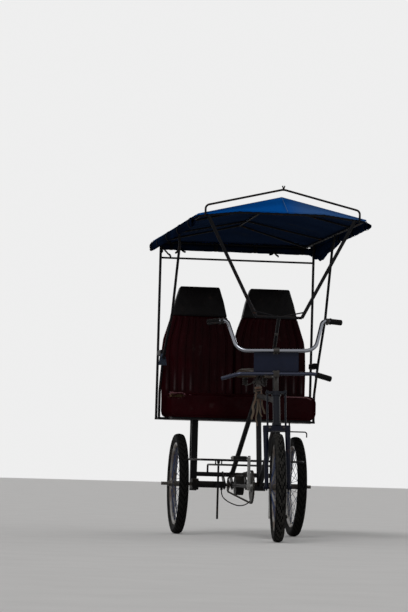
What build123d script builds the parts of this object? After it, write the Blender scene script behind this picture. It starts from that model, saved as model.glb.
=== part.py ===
from build123d import *
import math
import os

# A pedal rickshaw: one steered front wheel, a rider's saddle, and a cloth-roofed
# bench for two between the rear wheels. Millimetres, +Z up, the front wheel
# towards -Y and the rider's left towards +X.
# Heights are above the ground and Y is measured from the rear axle. write_part
# then slides each piece along Y, so that the model's origin is under its middle.

os.makedirs("parts", exist_ok=True)

# Wheels
wheel_diameter = 620.0
tyre_width = 60.0
tyre_height = 56.0
rim_width = 36.0
rim_depth = 18.0
track = 733.0
wheelbase = 1552.0
spoke_count = 18
spoke_diameter = 6.0
spoke_lean = 14.0
hub_diameter = 44.0
flange_diameter = 76.0
flange_thickness = 5.0
front_hub_length = 96.0
rear_hub_length = 92.0
# share of half the width, share of the height, from the bead to the tread
tyre_shoulders = [(0.9, 0.3), (1.0, 0.58), (0.78, 0.9), (0.36, 1.0)]
rim_lip_share = 0.6
rim_well_share = 0.25
spoke_seat_share = 0.12
flange_inset_share = 1.5

# Rear axle, its drive and its brake
axle_diameter = 20.0
axle_reach = 470.0
axle_nut_size = 36.0
axle_nut_thickness = 14.0
bearing_gap = 0.3
housing_diameter = 41.0
chain_line = 48.0
chain_width = 9.0
chain_height = 8.0
chain_pitch = 12.7
chain_gap = 0.5
rear_teeth = 18
ring_teeth = 44
tooth_height = 5.0
sprocket_thickness = 3.0
sprocket_hub_diameter = 40.0
sprocket_hub_length = 14.0
drum_diameter = 124.0
drum_width = 50.0
drum_middle = 17.0
drum_wall = 7.0
cut_overshoot = 1.0
housing_clearance = 12.0
inner_bearing_middle = -26.0

# Rear frame
beam_y = 84.0
beam_height = 373.0
beam_diameter = 28.0
leg_size = 40.0
leg_middle = 259.0
leg_foot_height = 270.0
pillow_diameter = 70.0
hanger_thickness = 8.0
hanger_boss = 58.0
hanger_eye_share = 0.7
pillow_web_share = 0.8

# Steering
head_angle = 76.5
fork_rake = 14.0
steering_turn = 6.0
crown_clearance = 24.0
crown_height = 32.0
crown_depth = 36.0
crown_corner_share = 0.3
fork_spread = 63.0
leg_top_diameter = 32.0
leg_bottom_diameter = 22.0
dropout_thickness = 8.0
dropout_share = 0.75
front_axle_diameter = 12.0
front_axle_reach = 82.0
front_nut_diameter = 22.0
front_nut_thickness = 9.0
steerer_diameter = 26.0
head_tube_diameter = 42.0
head_cup_diameter = 54.0
head_cup_height = 14.0
head_length = 190.0
head_gap = 1.0
yoke_depth = 24.0
yoke_thickness = 12.0
side_rod_spread = 52.0
side_rod_diameter = 12.0
side_rod_wall = 3.0
side_rod_head = 8.0
stem_diameter = 27.0
upper_arm_share = 0.8
bar_diameter = 22.0
flat_bar_height = 964.0
flat_bar_lead = 33.0
flat_bar_reach = 314.0
flat_bar_bend = 215.0
flat_bar_droop = 28.0
flat_bar_sweep = 32.0
riser_bar_height = 1097.0
riser_bar_lead = 77.0
riser_low_corner = 223.0
riser_high_corner = 276.0
riser_rise = 180.0
riser_setback = 128.0
riser_reach = 386.0
riser_grip_drop = 9.0
riser_grip_sweep = 50.0
riser_low_bend = 75.0
riser_high_bend = 45.0
flat_bar_bend_radius = 62.0
grip_diameter = 32.0
riser_grip_length = 78.0
flat_grip_length = 96.0
grip_end_wall = 5.0
fit_gap = 0.1
sign_width = 258.0
sign_thickness = 3.0
sign_gap = 0.3
sign_slot_room = 3.0
clamp_size = 34.0
lever_length = 83.0
lever_setback = 12.0
lever_clamp_length = 16.0
lever_clamp_wall = 5.0
lever_drop = (0.0, -34.0, -10.0)
lever_rise = (6.0, -8.0)
lever_stalk = 12.0
lever_blade = 8.0
lever_tip_share = 0.65

# Rider's frame
bottom_bracket_y = -895.0
bottom_bracket_height = 306.0
bottom_bracket_diameter = 44.0
bottom_bracket_width = 68.0
seat_tube_angle = 77.0
seat_post_show = 54.0
seat_cluster_drop = 20.0
seat_tube_diameter = 32.0
main_tube_diameter = 32.0
top_tube_drop = 28.0
top_tube_cluster_drop = 30.0
down_tube_rise = 26.0
spine_diameter = 30.0
spine_foot_x = -16.0
stay_diameter = 20.0
stay_front_spread = 20.0
weld_gap = 0.1
saddle_height = 1020.0
saddle_length = 268.0
saddle_width = 220.0
saddle_nose_width = 56.0
saddle_depth = 66.0
saddle_setback = 42.0
saddle_round_share = 0.3
seat_post_diameter = 25.4
seat_post_insertion = 60.0

# Cranks
crank_length = 170.0
crank_spread = 66.0
crank_thickness = 14.0
crank_boss_radius = 20.0
crank_eye_radius = 14.0
spider_diameter = 56.0
crank_spindle_diameter = 17.0
pedal_length = 92.0
pedal_depth = 84.0
pedal_thickness = 24.0
pedal_axle_diameter = 12.0
pedal_start = 6.0

# Passenger footrest
deck_half_width = 308.0
deck_front_y = -640.0
deck_rear_y = -190.0
deck_height = 462.0
deck_lower_height = 433.0
deck_rod = 12.0
deck_cross_rod = 10.0
deck_slat = 8.0
deck_slats = 9
bench_prop = 10.0
bench_prop_y = -100.0
deck_bend = 30.0
carrier_x = 170.0
carrier_nose_x = 36.0
carrier_prop_y = -560.0
carrier_middle_gap = 1.0
drop_rod_x = -124.0
drop_rod_diameter = 13.0
drop_rod_foot = 98.0
drop_rod_y = -62.0
drop_rod_head = 18.0
drop_rod_bracket = 26.0
drop_rod_knob_share = 0.8
guard_height = 652.0
guard_rod = 8.0
guard_reach = 452.0
guard_drop = 34.0
guard_bend = 14.0

# Bench
pan_height = 706.0
pan_thickness = 14.0
pan_half_width = 430.0
pan_front_step = 20.0
pan_rear_step = 10.0
post_tab_margin = 4.0
cushion_half_width = 465.0
cushion_front = -150.0
cushion_depth = 315.0
cushion_thickness = 148.0
cushion_corner = 45.0
soft_gap = 0.3
back_thickness = 90.0
back_lean = 5.5
back_half_width = 458.0
back_gap = 5.0
back_shoulder_height = 1150.0
back_inner_shoulder = 1220.0
back_top_height = 1360.0
back_top_outer = 405.0
back_top_inner = 48.0
head_top_height = 1552.0
head_top_outer = 349.0
head_top_inner = 99.0
head_thickness = 76.0

# Canopy
post_x = 488.0
post_rear_y = 200.0
post_diameter = 16.0
front_post_foot_y = 60.0
front_post_knee = (488.0, -50.0, 1072.0)
front_post_elbow = (475.0, -333.0, 1350.0)
front_post_head = (468.0, -545.0, 1760.0)
front_post_straight = 162.0
front_post_bend = 60.0
front_post_step = 20.0
arm_rest_heights = {"right": 1118.0, "left": 1065.0}
arm_rod = 12.0
arm_pad = 36.0
arm_pad_length = 170.0
arm_pad_round = 8.0
arm_inset = 4.0
cross_bar_height = 1723.0
cross_bar_diameter = 12.0
roof_half_front = 492.0
roof_half_rear = 500.0
roof_front_y = -1465.0
roof_rear_y = 480.0
roof_eave_front = 1866.0
roof_eave_rear = 1850.0
hem_rise = 30.0
hem_flat_half = 250.0
hem_bend = 400.0
ridge_front_y = -1425.0
ridge_front_height = 1983.0
ridge_rear_y = 130.0
ridge_rear_height = 1948.0
cloth_thickness = 3.0
cloth_gap = 0.3
rail_diameter = 14.0
rail_inset = 14.0
rib_diameter = 12.0
rib_a_y = -1070.0
rib_b_y = -150.0
ridge_tube_step = 10.0
ridge_drop = 0.5
bow_diameter = 12.0
bow_half_width = 450.0
bow_setoff = 17.0
bow_rise = 50.0
bow_peak_height = 2023.0
bow_stub_height = 22.0
bow_stub_lean = 7.0
bow_bend = 12.0
bow_shoulder_bend = 26.0
bow_peak_bend = 60.0
bow_stub_share = 0.6
strut_diameter = 20.0
strut_top_x = 430.0
strut_base_half = 134.0
strut_base_y = -1433.0
strut_base_rise = 192.0
strut_base_diameter = 16.0
brace_diameter = 8.0
brace_rise = 34.0
upright_diameter = 20.0
upright_setback = 52.0
upright_kink_rise = 5.0
upright_bend = 40.0
roll_diameter = 48.0
roll_height = 1797.0
side_roll_inset = 30.0
side_roll_width = 38.0
side_roll_top = 10.0
side_roll_drop = 74.0
front_hem_share = 0.7
# y, drop below the eave of the bunched left curtain's hem
sagging_hem = [(-615.0, 58.0), (-230.0, 92.0), (70.0, 132.0), (250.0, 104.0), (450.0, 70.0)]

# Hanging cable
cable_diameter = 7.0
clip_length = 12.0
clip_width = 14.0
cable_bend_share = 0.45
cable_route = [
    (-92.0, 0.0, 277.5),
    (-91.0, 0.0, 256.0),
    (-83.0, 0.0, 233.0),
    (-58.0, 0.0, 211.0),
    (-24.0, 0.0, 194.0),
    (14.0, 0.0, 182.0),
    (52.0, 0.0, 185.0),
    (83.0, 0.0, 204.0),
    (102.0, 0.0, 230.0),
    (110.0, 0.0, 254.0),
    (112.0, 0.0, 277.5),
]

# Worked out from the sizes above
wheel_radius = wheel_diameter / 2
rim_radius = wheel_radius - tyre_height
wheel_x = track / 2
axle_height = wheel_radius
tilt = 90 - head_angle
tilt_rad = math.radians(tilt)
steer_foot = Vector(
    0,
    -wheelbase + fork_rake * math.cos(tilt_rad),
    axle_height - fork_rake * math.sin(tilt_rad),
)
crown_bottom = wheel_radius + crown_clearance
crown_top = crown_bottom + crown_height
head_bottom = crown_top + head_gap
head_top = head_bottom + head_length
yoke_bottom = head_top + head_gap
yoke_top = yoke_bottom + yoke_thickness
seat_slope = math.tan(math.radians(90 - seat_tube_angle))
seat_tube_top = saddle_height - saddle_depth - seat_post_show
seat_cluster_height = seat_tube_top - seat_cluster_drop
upright_kink_height = riser_bar_height + upright_kink_rise
strut_base_height = riser_bar_height + strut_base_rise
roof_slope = math.atan2(ridge_front_height - roof_eave_front, roof_half_front)
gable_lean = (ridge_front_y - roof_front_y) / (ridge_front_height - roof_eave_front)
ring_pitch_radius = ring_teeth * chain_pitch / (2 * math.pi)
rear_pitch_radius = rear_teeth * chain_pitch / (2 * math.pi)
housing_bore = axle_diameter + 2 * bearing_gap
housing_outer_end = leg_middle - leg_size / 2
cushion_bottom = pan_height + pan_thickness + soft_gap
cushion_top = cushion_bottom + cushion_thickness
cushion_rear = cushion_front + cushion_depth
back_foot_y = cushion_rear + soft_gap + back_thickness / 2
back_foot_lift = back_thickness / 2 * math.sin(math.radians(back_lean))
front_reach = -(wheelbase + wheel_radius)
frame_shift = -(front_reach + roof_rear_y) / 2


def write_part(node, shape):
    export_step(Pos(0, frame_shift, 0) * shape, "parts/" + node + ".step")


def rod(start, end, diameter):
    start = Vector(*start)
    run = Vector(*end) - start
    return Plane(origin=start + run * 0.5, z_dir=run) * Cylinder(diameter / 2, run.length)


def bent_rod(points, bend_radius, diameter):
    path = FilletPolyline(*points, radius=bend_radius)
    section = Plane(origin=path @ 0, z_dir=path % 0) * Circle(diameter / 2)
    return sweep(section, path=path)


def block(middle, size):
    return Pos(*middle) * Box(*size)


def across(x, y, z, diameter, length):
    # A round bar along X, centred on the given point
    return Pos(x, y, z) * Rot(0, 90, 0) * Cylinder(diameter / 2, length)


def other_side(shape):
    return mirror(shape, about=Plane.YZ)


def both_sides(shape):
    return Compound(children=[shape.solid(), other_side(shape).solid()])


def less(shape, *neighbours):
    # The shape, cut to seat against each neighbour; the largest piece is kept
    for neighbour in neighbours:
        shape = shape - neighbour
    return max(shape.solids(), key=lambda solid: solid.volume)


def eye_plate(first, second, x_middle, thickness):
    # A flat link in a plane across X, round ends about two (y, z, radius) points
    outline = make_hull(
        [(Pos(y, z) * Circle(radius)).edge() for y, z, radius in (first, second)]
    )
    return extrude(Plane.YZ.offset(x_middle - thickness / 2) * outline, thickness)


def steered(shape):
    # From the steering frame, Z up the steering axis, to the vehicle
    return Pos(*steer_foot) * Rot(-tilt, 0, 0) * shape


def on_axis(distance):
    return steer_foot + Vector(0, math.sin(tilt_rad), math.cos(tilt_rad)) * distance


def turned(shape):
    # The steering rests turned a little to the rider's right
    frame = Pos(*steer_foot) * Rot(-tilt, 0, 0)
    return frame * Rot(0, 0, -steering_turn) * frame.inverse() * shape


def axis_y(height):
    return steer_foot.Y + (height - steer_foot.Z) * math.tan(tilt_rad)


def seat_y(height):
    return bottom_bracket_y + (height - bottom_bracket_height) * seat_slope


def spun(profile):
    # A ring about the X axis from an (x, radius) outline
    return revolve(Plane.XZ * make_face(Polyline(*profile, close=True)), axis=Axis.X)


def tyre():
    half = tyre_width / 2
    # x, radius, from one bead over the tread to the other
    side = [(rim_width / 2, rim_radius)]
    side += [(half * out, rim_radius + tyre_height * up) for out, up in tyre_shoulders]
    return spun(side + [(-x, radius) for x, radius in reversed(side)])


def wheel(hub_length, bore):
    inner_rim = rim_radius - rim_depth
    flange_x = hub_length / 2 - flange_thickness * flange_inset_share
    body = spun([
        (rim_width / 2, rim_radius),
        (rim_width / 2, rim_radius - rim_depth * rim_lip_share),
        (rim_width * rim_well_share, inner_rim),
        (-rim_width * rim_well_share, inner_rim),
        (-rim_width / 2, rim_radius - rim_depth * rim_lip_share),
        (-rim_width / 2, rim_radius),
    ])
    hub = across(0, 0, 0, hub_diameter, hub_length)
    for side in (-1, 1):
        hub += across(side * flange_x, 0, 0, flange_diameter, flange_thickness)
    spokes = []
    for index in range(spoke_count):
        angle = math.radians(index * 360 / spoke_count)
        lean = math.radians(spoke_lean if index % 4 < 2 else -spoke_lean)
        side = 1 if index % 2 else -1
        hub_hole = flange_diameter / 2 - spoke_diameter
        start = (side * flange_x, hub_hole * math.cos(angle + lean), hub_hole * math.sin(angle + lean))
        reach = inner_rim + spoke_diameter / 2
        seat_x = side * rim_width * spoke_seat_share
        end = (seat_x, reach * math.cos(angle), reach * math.sin(angle))
        spokes.append(rod(start, end, spoke_diameter))
    return (body + spokes + hub) - across(0, 0, 0, bore, hub_length * 2)


def toothed_disc(teeth, pitch_radius, thickness, bore):
    tip = pitch_radius + tooth_height / 2
    root = pitch_radius - tooth_height / 2
    step = 2 * math.pi / teeth
    # share of one tooth's turn, radius
    tooth = [(-0.32, root), (-0.12, tip), (0.12, tip), (0.32, root)]
    points = [
        (radius * math.cos((index + share) * step), radius * math.sin((index + share) * step))
        for index in range(teeth)
        for share, radius in tooth
    ]
    disc = extrude(Plane.YZ.offset(-thickness / 2) * make_face(Polyline(*points, close=True)), thickness)
    return disc - across(0, 0, 0, bore, thickness * 4)


def roof_eave(y):
    share = (y - roof_front_y) / (roof_rear_y - roof_front_y)
    height = roof_eave_front + (roof_eave_rear - roof_eave_front) * share
    return roof_half_front + (roof_half_rear - roof_half_front) * share, height


def roof_ridge(y):
    share = (y - ridge_front_y) / (ridge_rear_y - ridge_front_y)
    return ridge_front_height + (ridge_rear_height - ridge_front_height) * share


def hem_lift(x):
    # How far the arched front hem stands above the roof's front corners
    return hem_rise * min(1, (roof_half_front - abs(x)) / (roof_half_front - hem_flat_half))


def under_roof(diameter):
    # How far below the cloth's top a bar's centre lies, square to the slope
    return cloth_thickness + (cloth_gap + diameter / 2) / math.cos(roof_slope)


def front_rail_point(x):
    # The middle of the front rail, which follows the arched hem
    lift = hem_lift(x)
    y = roof_front_y + rail_inset + lift * gable_lean
    return x, y, roof_eave_front - under_roof(rail_diameter) + lift


# Wheels
front_hub = (0, -wheelbase, axle_height)
left_hub = (wheel_x, 0, axle_height)
right_hub = (-wheel_x, 0, axle_height)
tyre_ring = tyre()
front_wheel = wheel(front_hub_length, front_axle_diameter + 2 * bearing_gap)
rear_wheel = wheel(rear_hub_length, axle_diameter + 2 * bearing_gap)
write_part("tyre_front", turned(Pos(*front_hub) * tyre_ring))
write_part("wheel_front", turned(Pos(*front_hub) * front_wheel))
for side_name, hub_place in (("left", left_hub), ("right", right_hub)):
    write_part("tyre_rear_" + side_name, Pos(*hub_place) * tyre_ring)
    write_part("wheel_rear_" + side_name, Pos(*hub_place) * rear_wheel)

# Through axle, driven by the sprocket and slowed by the drum
nut_x = wheel_x + rear_hub_length / 2 + axle_nut_thickness / 2 + bearing_gap
drive_axle = across(0, 0, axle_height, axle_diameter, 2 * axle_reach)
for side in (-1, 1):
    nut = extrude(Plane.YZ * RegularPolygon(axle_nut_size / 2, 6), axle_nut_thickness / 2, both=True)
    drive_axle += Pos(side * nut_x, 0, axle_height) * nut
write_part("drive_axle", drive_axle)
rear_sprocket = toothed_disc(rear_teeth, rear_pitch_radius, sprocket_thickness, axle_diameter)
rear_sprocket += across(0, 0, 0, sprocket_hub_diameter, sprocket_hub_length)
rear_sprocket -= across(0, 0, 0, axle_diameter, sprocket_hub_length * 2)
write_part("rear_sprocket", Pos(-chain_line, 0, axle_height) * rear_sprocket)
drum_rim = across(0, 0, 0, drum_diameter, drum_width)
drum_recess = across(drum_width / 4, 0, 0, drum_diameter - 2 * drum_wall, drum_width / 2 + cut_overshoot)
drum_hub = across(0, 0, 0, sprocket_hub_diameter, drum_width)
brake_drum = (drum_rim - drum_recess) + drum_hub
brake_drum -= across(0, 0, 0, axle_diameter, drum_width * 2)
write_part("brake_drum", Pos(drum_middle, 0, axle_height) * brake_drum)

# Axle housing tubes, their pillow blocks and the bench legs
left_housing_end = drum_middle + drum_width / 2 + housing_clearance
right_housing_end = chain_line + sprocket_hub_length / 2 + housing_clearance
leg_front_y = beam_y - leg_size / 2


def axle_housing(inner_end, clip_x):
    length = housing_outer_end - inner_end
    tube = across(inner_end + length / 2, 0, axle_height, housing_diameter, length)
    pillow = across(leg_middle, 0, axle_height, pillow_diameter, leg_size)
    pillow += block(
        (leg_middle, leg_front_y / 2, axle_height),
        (leg_size, leg_front_y, pillow_diameter * pillow_web_share),
    )
    clip_drop = housing_diameter / 2 + clip_length
    tube += block(
        (clip_x, 0, axle_height - clip_drop / 2 - housing_bore / 4),
        (clip_width, clip_width, clip_drop - housing_bore / 2),
    )
    return (tube + pillow) - across(leg_middle, 0, axle_height, housing_bore, 2 * leg_middle)


left_housing = axle_housing(left_housing_end, cable_route[-1][0])
right_housing = other_side(axle_housing(right_housing_end, -cable_route[0][0]))
write_part("axle_housing", Compound(children=[left_housing.solid(), right_housing.solid()]))
rear_leg = block(
    (leg_middle, beam_y, (leg_foot_height + pan_height) / 2),
    (leg_size, leg_size, pan_height - leg_foot_height),
)
# Cross beam behind the axle with the hangers that carry the inner bearings
rear_beam = across(0, beam_y, beam_height, beam_diameter, 2 * housing_outer_end)
beam_eye = (beam_y, beam_height, beam_diameter * hanger_eye_share)
axle_eye = (0, axle_height, hanger_boss / 2)
hanger_places = (
    left_housing_end + hanger_thickness,
    inner_bearing_middle,
    -(right_housing_end + hanger_thickness),
)
hangers = [eye_plate(axle_eye, beam_eye, x, hanger_thickness) for x in hanger_places]
inner_boss = across(inner_bearing_middle, 0, axle_height, housing_diameter, hanger_thickness * 2)
rear_beam = rear_beam + hangers + inner_boss
rear_beam -= across(0, 0, axle_height, housing_bore, 2 * axle_reach)
rear_beam = less(rear_beam, left_housing, right_housing)
write_part("rear_beam", rear_beam)

# Rider's frame
cup = Cylinder(head_cup_diameter / 2, head_cup_height, align=(Align.CENTER, Align.CENTER, Align.MIN))
head_envelope = Cylinder(
    head_tube_diameter / 2, head_length, align=(Align.CENTER, Align.CENTER, Align.MIN)
)
head_envelope = head_envelope + cup + Pos(0, 0, head_length - head_cup_height) * cup
head_bore = Cylinder(
    steerer_diameter / 2 + bearing_gap, head_length * 2, align=(Align.CENTER, Align.CENTER, Align.CENTER)
)
head_solid = steered(Pos(0, 0, head_bottom) * head_envelope)
head_tube = steered(Pos(0, 0, head_bottom) * (head_envelope - head_bore))
write_part("head_tube", head_tube)

bracket_middle = (0, bottom_bracket_y, bottom_bracket_height)
bracket_solid = across(*bracket_middle, bottom_bracket_diameter, bottom_bracket_width)
bracket_bore = across(
    *bracket_middle, crank_spindle_diameter + 2 * bearing_gap, bottom_bracket_width * 2
)
write_part("bottom_bracket", bracket_solid - bracket_bore)
seat_tube = rod(bracket_middle, (0, seat_y(seat_tube_top), seat_tube_top), seat_tube_diameter)
seat_tube = less(seat_tube, bracket_solid)
top_tube_front = on_axis(head_top - head_cup_height - top_tube_drop)
seat_cluster = (0, seat_y(seat_cluster_height), seat_cluster_height)
top_tube_rear_height = seat_cluster_height - top_tube_cluster_drop
top_tube_rear = (0, seat_y(top_tube_rear_height), top_tube_rear_height)
top_tube = rod(top_tube_front, top_tube_rear, main_tube_diameter)
top_tube = less(top_tube, head_solid, seat_tube)
down_tube_front = on_axis(head_bottom + head_cup_height + down_tube_rise)
down_tube = rod(down_tube_front, bracket_middle, main_tube_diameter)
down_tube = less(down_tube, head_solid, bracket_solid, seat_tube)
spine_foot = (spine_foot_x, beam_y, beam_height)
spine_tube = less(rod(seat_cluster, spine_foot, spine_diameter), seat_tube, top_tube, rear_beam)
write_part("seat_tube", seat_tube)
write_part("top_tube", top_tube)
write_part("down_tube", down_tube)
write_part("spine_tube", spine_tube)
right_stay = rod(
    (-stay_front_spread, bottom_bracket_y, bottom_bracket_height),
    (inner_bearing_middle, 0, axle_height),
    stay_diameter,
)
left_stay = rod(
    (stay_front_spread, bottom_bracket_y, bottom_bracket_height),
    (hanger_places[0], 0, axle_height),
    stay_diameter,
)
bracket_room = across(
    *bracket_middle, bottom_bracket_diameter + 2 * weld_gap, bottom_bracket_width + 2 * weld_gap
)
axle_room = across(0, 0, axle_height, housing_diameter, 2 * axle_reach)
right_stay = less(right_stay, bracket_room, axle_room, rear_beam)
left_stay = less(left_stay, bracket_room, axle_room, rear_beam)
write_part("chain_stays", Compound(children=[left_stay, right_stay]))

# Saddle on its post
post_foot = seat_tube_top - seat_post_insertion
saddle_bottom = saddle_height - saddle_depth
seat_bore = rod(
    (0, seat_y(post_foot), post_foot),
    (0, seat_y(saddle_height), saddle_height),
    seat_post_diameter,
)
saddle_y = seat_y(saddle_bottom) + saddle_setback
saddle_half = saddle_length / 2
# y from the saddle's middle, half width, edge height above its underside
saddle_sections = [
    (-saddle_half, saddle_nose_width / 2, 0.50),
    (-saddle_half * 0.2, saddle_nose_width * 0.8, 0.85),
    (saddle_half * 0.35, saddle_width * 0.42, 0.92),
    (saddle_half, saddle_width / 2, 1.0),
]


def saddle_face(offset, half, share):
    height = saddle_depth * share
    corner = height * saddle_round_share
    outline = Pos(0, saddle_bottom + height / 2) * RectangleRounded(2 * half, height, corner)
    return Plane.XZ.offset(-(saddle_y + offset)) * outline


saddle = loft([saddle_face(*row) for row in saddle_sections], ruled=True)
saddle = less(saddle, seat_bore)
write_part("saddle", saddle)
post_seat = saddle_bottom + saddle_depth / 3
seat_post = rod(
    (0, seat_y(seat_tube_top), seat_tube_top), (0, seat_y(post_seat), post_seat), seat_post_diameter
)
seat_post = less(seat_post, seat_tube, saddle)
write_part("seat_post", seat_post)

# Cranks, ring and pedals; the right crank stands up
spindle_reach = crank_spread + crank_thickness / 2
cranks = across(*bracket_middle, crank_spindle_diameter, 2 * spindle_reach)
for side_name, side, turn in (("left", 1, -1), ("right", -1, 1)):
    pedal_height = bottom_bracket_height + turn * crank_length
    arm = eye_plate(
        (bottom_bracket_y, bottom_bracket_height, crank_boss_radius),
        (bottom_bracket_y, pedal_height, crank_eye_radius),
        side * crank_spread,
        crank_thickness,
    )
    axle_length = pedal_start + pedal_length
    axle_x = side * (crank_spread + crank_thickness / 2 + axle_length / 2)
    cranks = cranks + arm
    cranks += across(axle_x, bottom_bracket_y, pedal_height, pedal_axle_diameter, axle_length)
    pedal_x = side * (crank_spread + crank_thickness / 2 + pedal_start + pedal_length / 2)
    pedal = block(
        (pedal_x, bottom_bracket_y, pedal_height), (pedal_length, pedal_depth, pedal_thickness)
    )
    pedal -= across(
        pedal_x, bottom_bracket_y, pedal_height, pedal_axle_diameter + 2 * bearing_gap, pedal_length * 2
    )
    write_part("pedal_" + side_name, pedal)
spider_length = crank_spread - crank_thickness / 2 - chain_line + sprocket_thickness / 2
spider_x = -(chain_line - sprocket_thickness / 2 + spider_length / 2)
cranks += across(spider_x, bottom_bracket_y, bottom_bracket_height, spider_diameter, spider_length)
write_part("cranks", cranks)
chain_ring = toothed_disc(ring_teeth, ring_pitch_radius, sprocket_thickness, spider_diameter)
write_part("chain_ring", Pos(-chain_line, bottom_bracket_y, bottom_bracket_height) * chain_ring)

# Chain: a fixed loop round both sets of teeth
ring_loop = ring_pitch_radius + tooth_height / 2 + chain_gap
rear_loop = rear_pitch_radius + tooth_height / 2 + chain_gap
chain_outer = eye_plate(
    (bottom_bracket_y, bottom_bracket_height, ring_loop + chain_height),
    (0, axle_height, rear_loop + chain_height),
    -chain_line,
    chain_width,
)
chain_inner = eye_plate(
    (bottom_bracket_y, bottom_bracket_height, ring_loop),
    (0, axle_height, rear_loop),
    -chain_line,
    chain_width * 2,
)
write_part("chain", chain_outer - chain_inner)

# Fork, with its crown, steerer and axle
leg_length = crown_bottom + crown_height / 2
fork = Pos(0, 0, leg_length) * Box(
    2 * fork_spread + leg_top_diameter, crown_depth, crown_height
)
fork = fillet(fork.edges().filter_by(Axis.Z), crown_depth * crown_corner_share)
fork += Pos(0, 0, crown_top) * Cylinder(
    steerer_diameter / 2, yoke_bottom - crown_top, align=(Align.CENTER, Align.CENTER, Align.MIN)
)
leg_plane = Plane(origin=(0, -fork_rake, 0), z_dir=(0, fork_rake, leg_length))
for side in (-1, 1):
    leg = Solid.make_cone(leg_bottom_diameter / 2, leg_top_diameter / 2, leg_length, leg_plane)
    fork += Pos(side * fork_spread, 0, 0) * leg
    fork += Pos(side * fork_spread, -fork_rake, 0) * Rot(0, 90, 0) * Cylinder(
        leg_bottom_diameter * dropout_share, dropout_thickness
    )
fork += Pos(0, -fork_rake, 0) * Rot(0, 90, 0) * Cylinder(
    front_axle_diameter / 2, 2 * front_axle_reach
)
front_nut_x = fork_spread + leg_bottom_diameter / 2
for side in (-1, 1):
    fork += Pos(side * front_nut_x, -fork_rake, 0) * Rot(0, 90, 0) * Cylinder(
        front_nut_diameter / 2, front_nut_thickness
    )
write_part("fork", turned(steered(fork)))

# Upper yoke and the side rods that tie it to the crown
yoke = Pos(0, 0, yoke_bottom + yoke_thickness / 2) * (
    Box(2 * (side_rod_spread + side_rod_wall) + side_rod_diameter, yoke_depth, yoke_thickness)
    + Cylinder(head_tube_diameter / 2, yoke_thickness)
)
for side in (-1, 1):
    yoke += Pos(side * side_rod_spread, 0, crown_top) * Cylinder(
        side_rod_diameter / 2,
        yoke_top - crown_top + side_rod_head,
        align=(Align.CENTER, Align.CENTER, Align.MIN),
    )
yoke = steered(yoke)
write_part("yoke", turned(yoke))

# Handlebars: a flat chromed bar low down and a high-rise bar above it
flat_y = axis_y(flat_bar_height) - flat_bar_lead
riser_y = axis_y(riser_bar_height) - riser_bar_lead
flat_right = [
    (0, flat_y, flat_bar_height),
    (flat_bar_bend, flat_y, flat_bar_height),
    (flat_bar_reach, flat_y + flat_bar_sweep, flat_bar_height - flat_bar_droop),
]
flat_points = [(-x, y, z) for x, y, z in reversed(flat_right[1:])] + flat_right[1:]
flat_bar = bent_rod(flat_points, flat_bar_bend_radius, bar_diameter)
riser_high_y = riser_y + riser_setback
riser_high_z = riser_bar_height + riser_rise
riser_half = [
    (riser_low_corner, riser_y, riser_bar_height),
    (riser_high_corner, riser_high_y, riser_high_z),
    (riser_reach, riser_high_y + riser_grip_sweep, riser_high_z - riser_grip_drop),
]
riser_points = [(-x, y, z) for x, y, z in reversed(riser_half)] + riser_half
riser_bends = [riser_high_bend, riser_low_bend, riser_low_bend, riser_high_bend]
riser_bar = bent_rod(riser_points, riser_bends, bar_diameter)
write_part("flat_bar", turned(flat_bar))
write_part("riser_bar", turned(riser_bar))


def grip(bar_points, length):
    # A rubber sleeve over the bar's end, closed at its outer end
    tip = Vector(*bar_points[-1])
    inward = (Vector(*bar_points[-2]) - tip).normalized()
    start = tip - inward * grip_end_wall
    sleeve = rod(start, tip + inward * (length - grip_end_wall), grip_diameter)
    core = rod(tip, tip + inward * (length + cut_overshoot), bar_diameter + 2 * fit_gap)
    return (sleeve - core).solid()


riser_grip = grip(riser_half, riser_grip_length)
flat_grip = grip(flat_right, flat_grip_length)
# The flat bar's right grip is missing
grips = Compound(children=[riser_grip, other_side(riser_grip).solid(), flat_grip])
write_part("grips", turned(grips))

# Stem: a column up the steering axis with a clamp to each bar
column_top = on_axis((riser_bar_height + stem_diameter / 2 - steer_foot.Z) / math.cos(tilt_rad))
column = rod(on_axis(yoke_top), column_top, stem_diameter)
upper_arm = rod(
    (0, axis_y(riser_bar_height), riser_bar_height),
    (0, riser_y, riser_bar_height),
    stem_diameter * upper_arm_share,
)
lower_clamp = block(
    (0, (flat_y + axis_y(flat_bar_height)) / 2, flat_bar_height),
    (clamp_size, flat_bar_lead + clamp_size, clamp_size),
)
upper_clamp = across(0, riser_y, riser_bar_height, clamp_size, clamp_size)
stem = less(column + upper_arm + lower_clamp + upper_clamp, flat_bar, riser_bar, yoke)
write_part("stem", turned(stem))

# Blank sign board between the bars, close behind them
board_gap = bar_diameter / 2 + sign_gap + sign_thickness / 2
sign_rise = Vector(0, riser_y - flat_y, riser_bar_height - flat_bar_height)
sign_plane = Plane(
    origin=(0, flat_y, flat_bar_height), x_dir=(1, 0, 0), z_dir=Vector(1, 0, 0).cross(sign_rise)
)
sign_height = sign_rise.length
sign_board = sign_plane * block(
    (0, sign_height / 2, -board_gap), (sign_width, sign_height, sign_thickness)
)
slot_width = clamp_size + 2 * sign_slot_room
slot_height = 3 * clamp_size + 2 * sign_slot_room
clamp_room = block(
    (0, (flat_y + axis_y(flat_bar_height)) / 2, flat_bar_height - clamp_size),
    (slot_width, flat_bar_lead + bar_diameter * 3, slot_height),
)
arm_room = block(
    (0, (riser_y + axis_y(riser_bar_height)) / 2, riser_bar_height + clamp_size),
    (slot_width, riser_bar_lead + bar_diameter * 2, slot_height),
)
sign_board = less(sign_board, clamp_room, arm_room)
write_part("sign_board", turned(sign_board))

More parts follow.
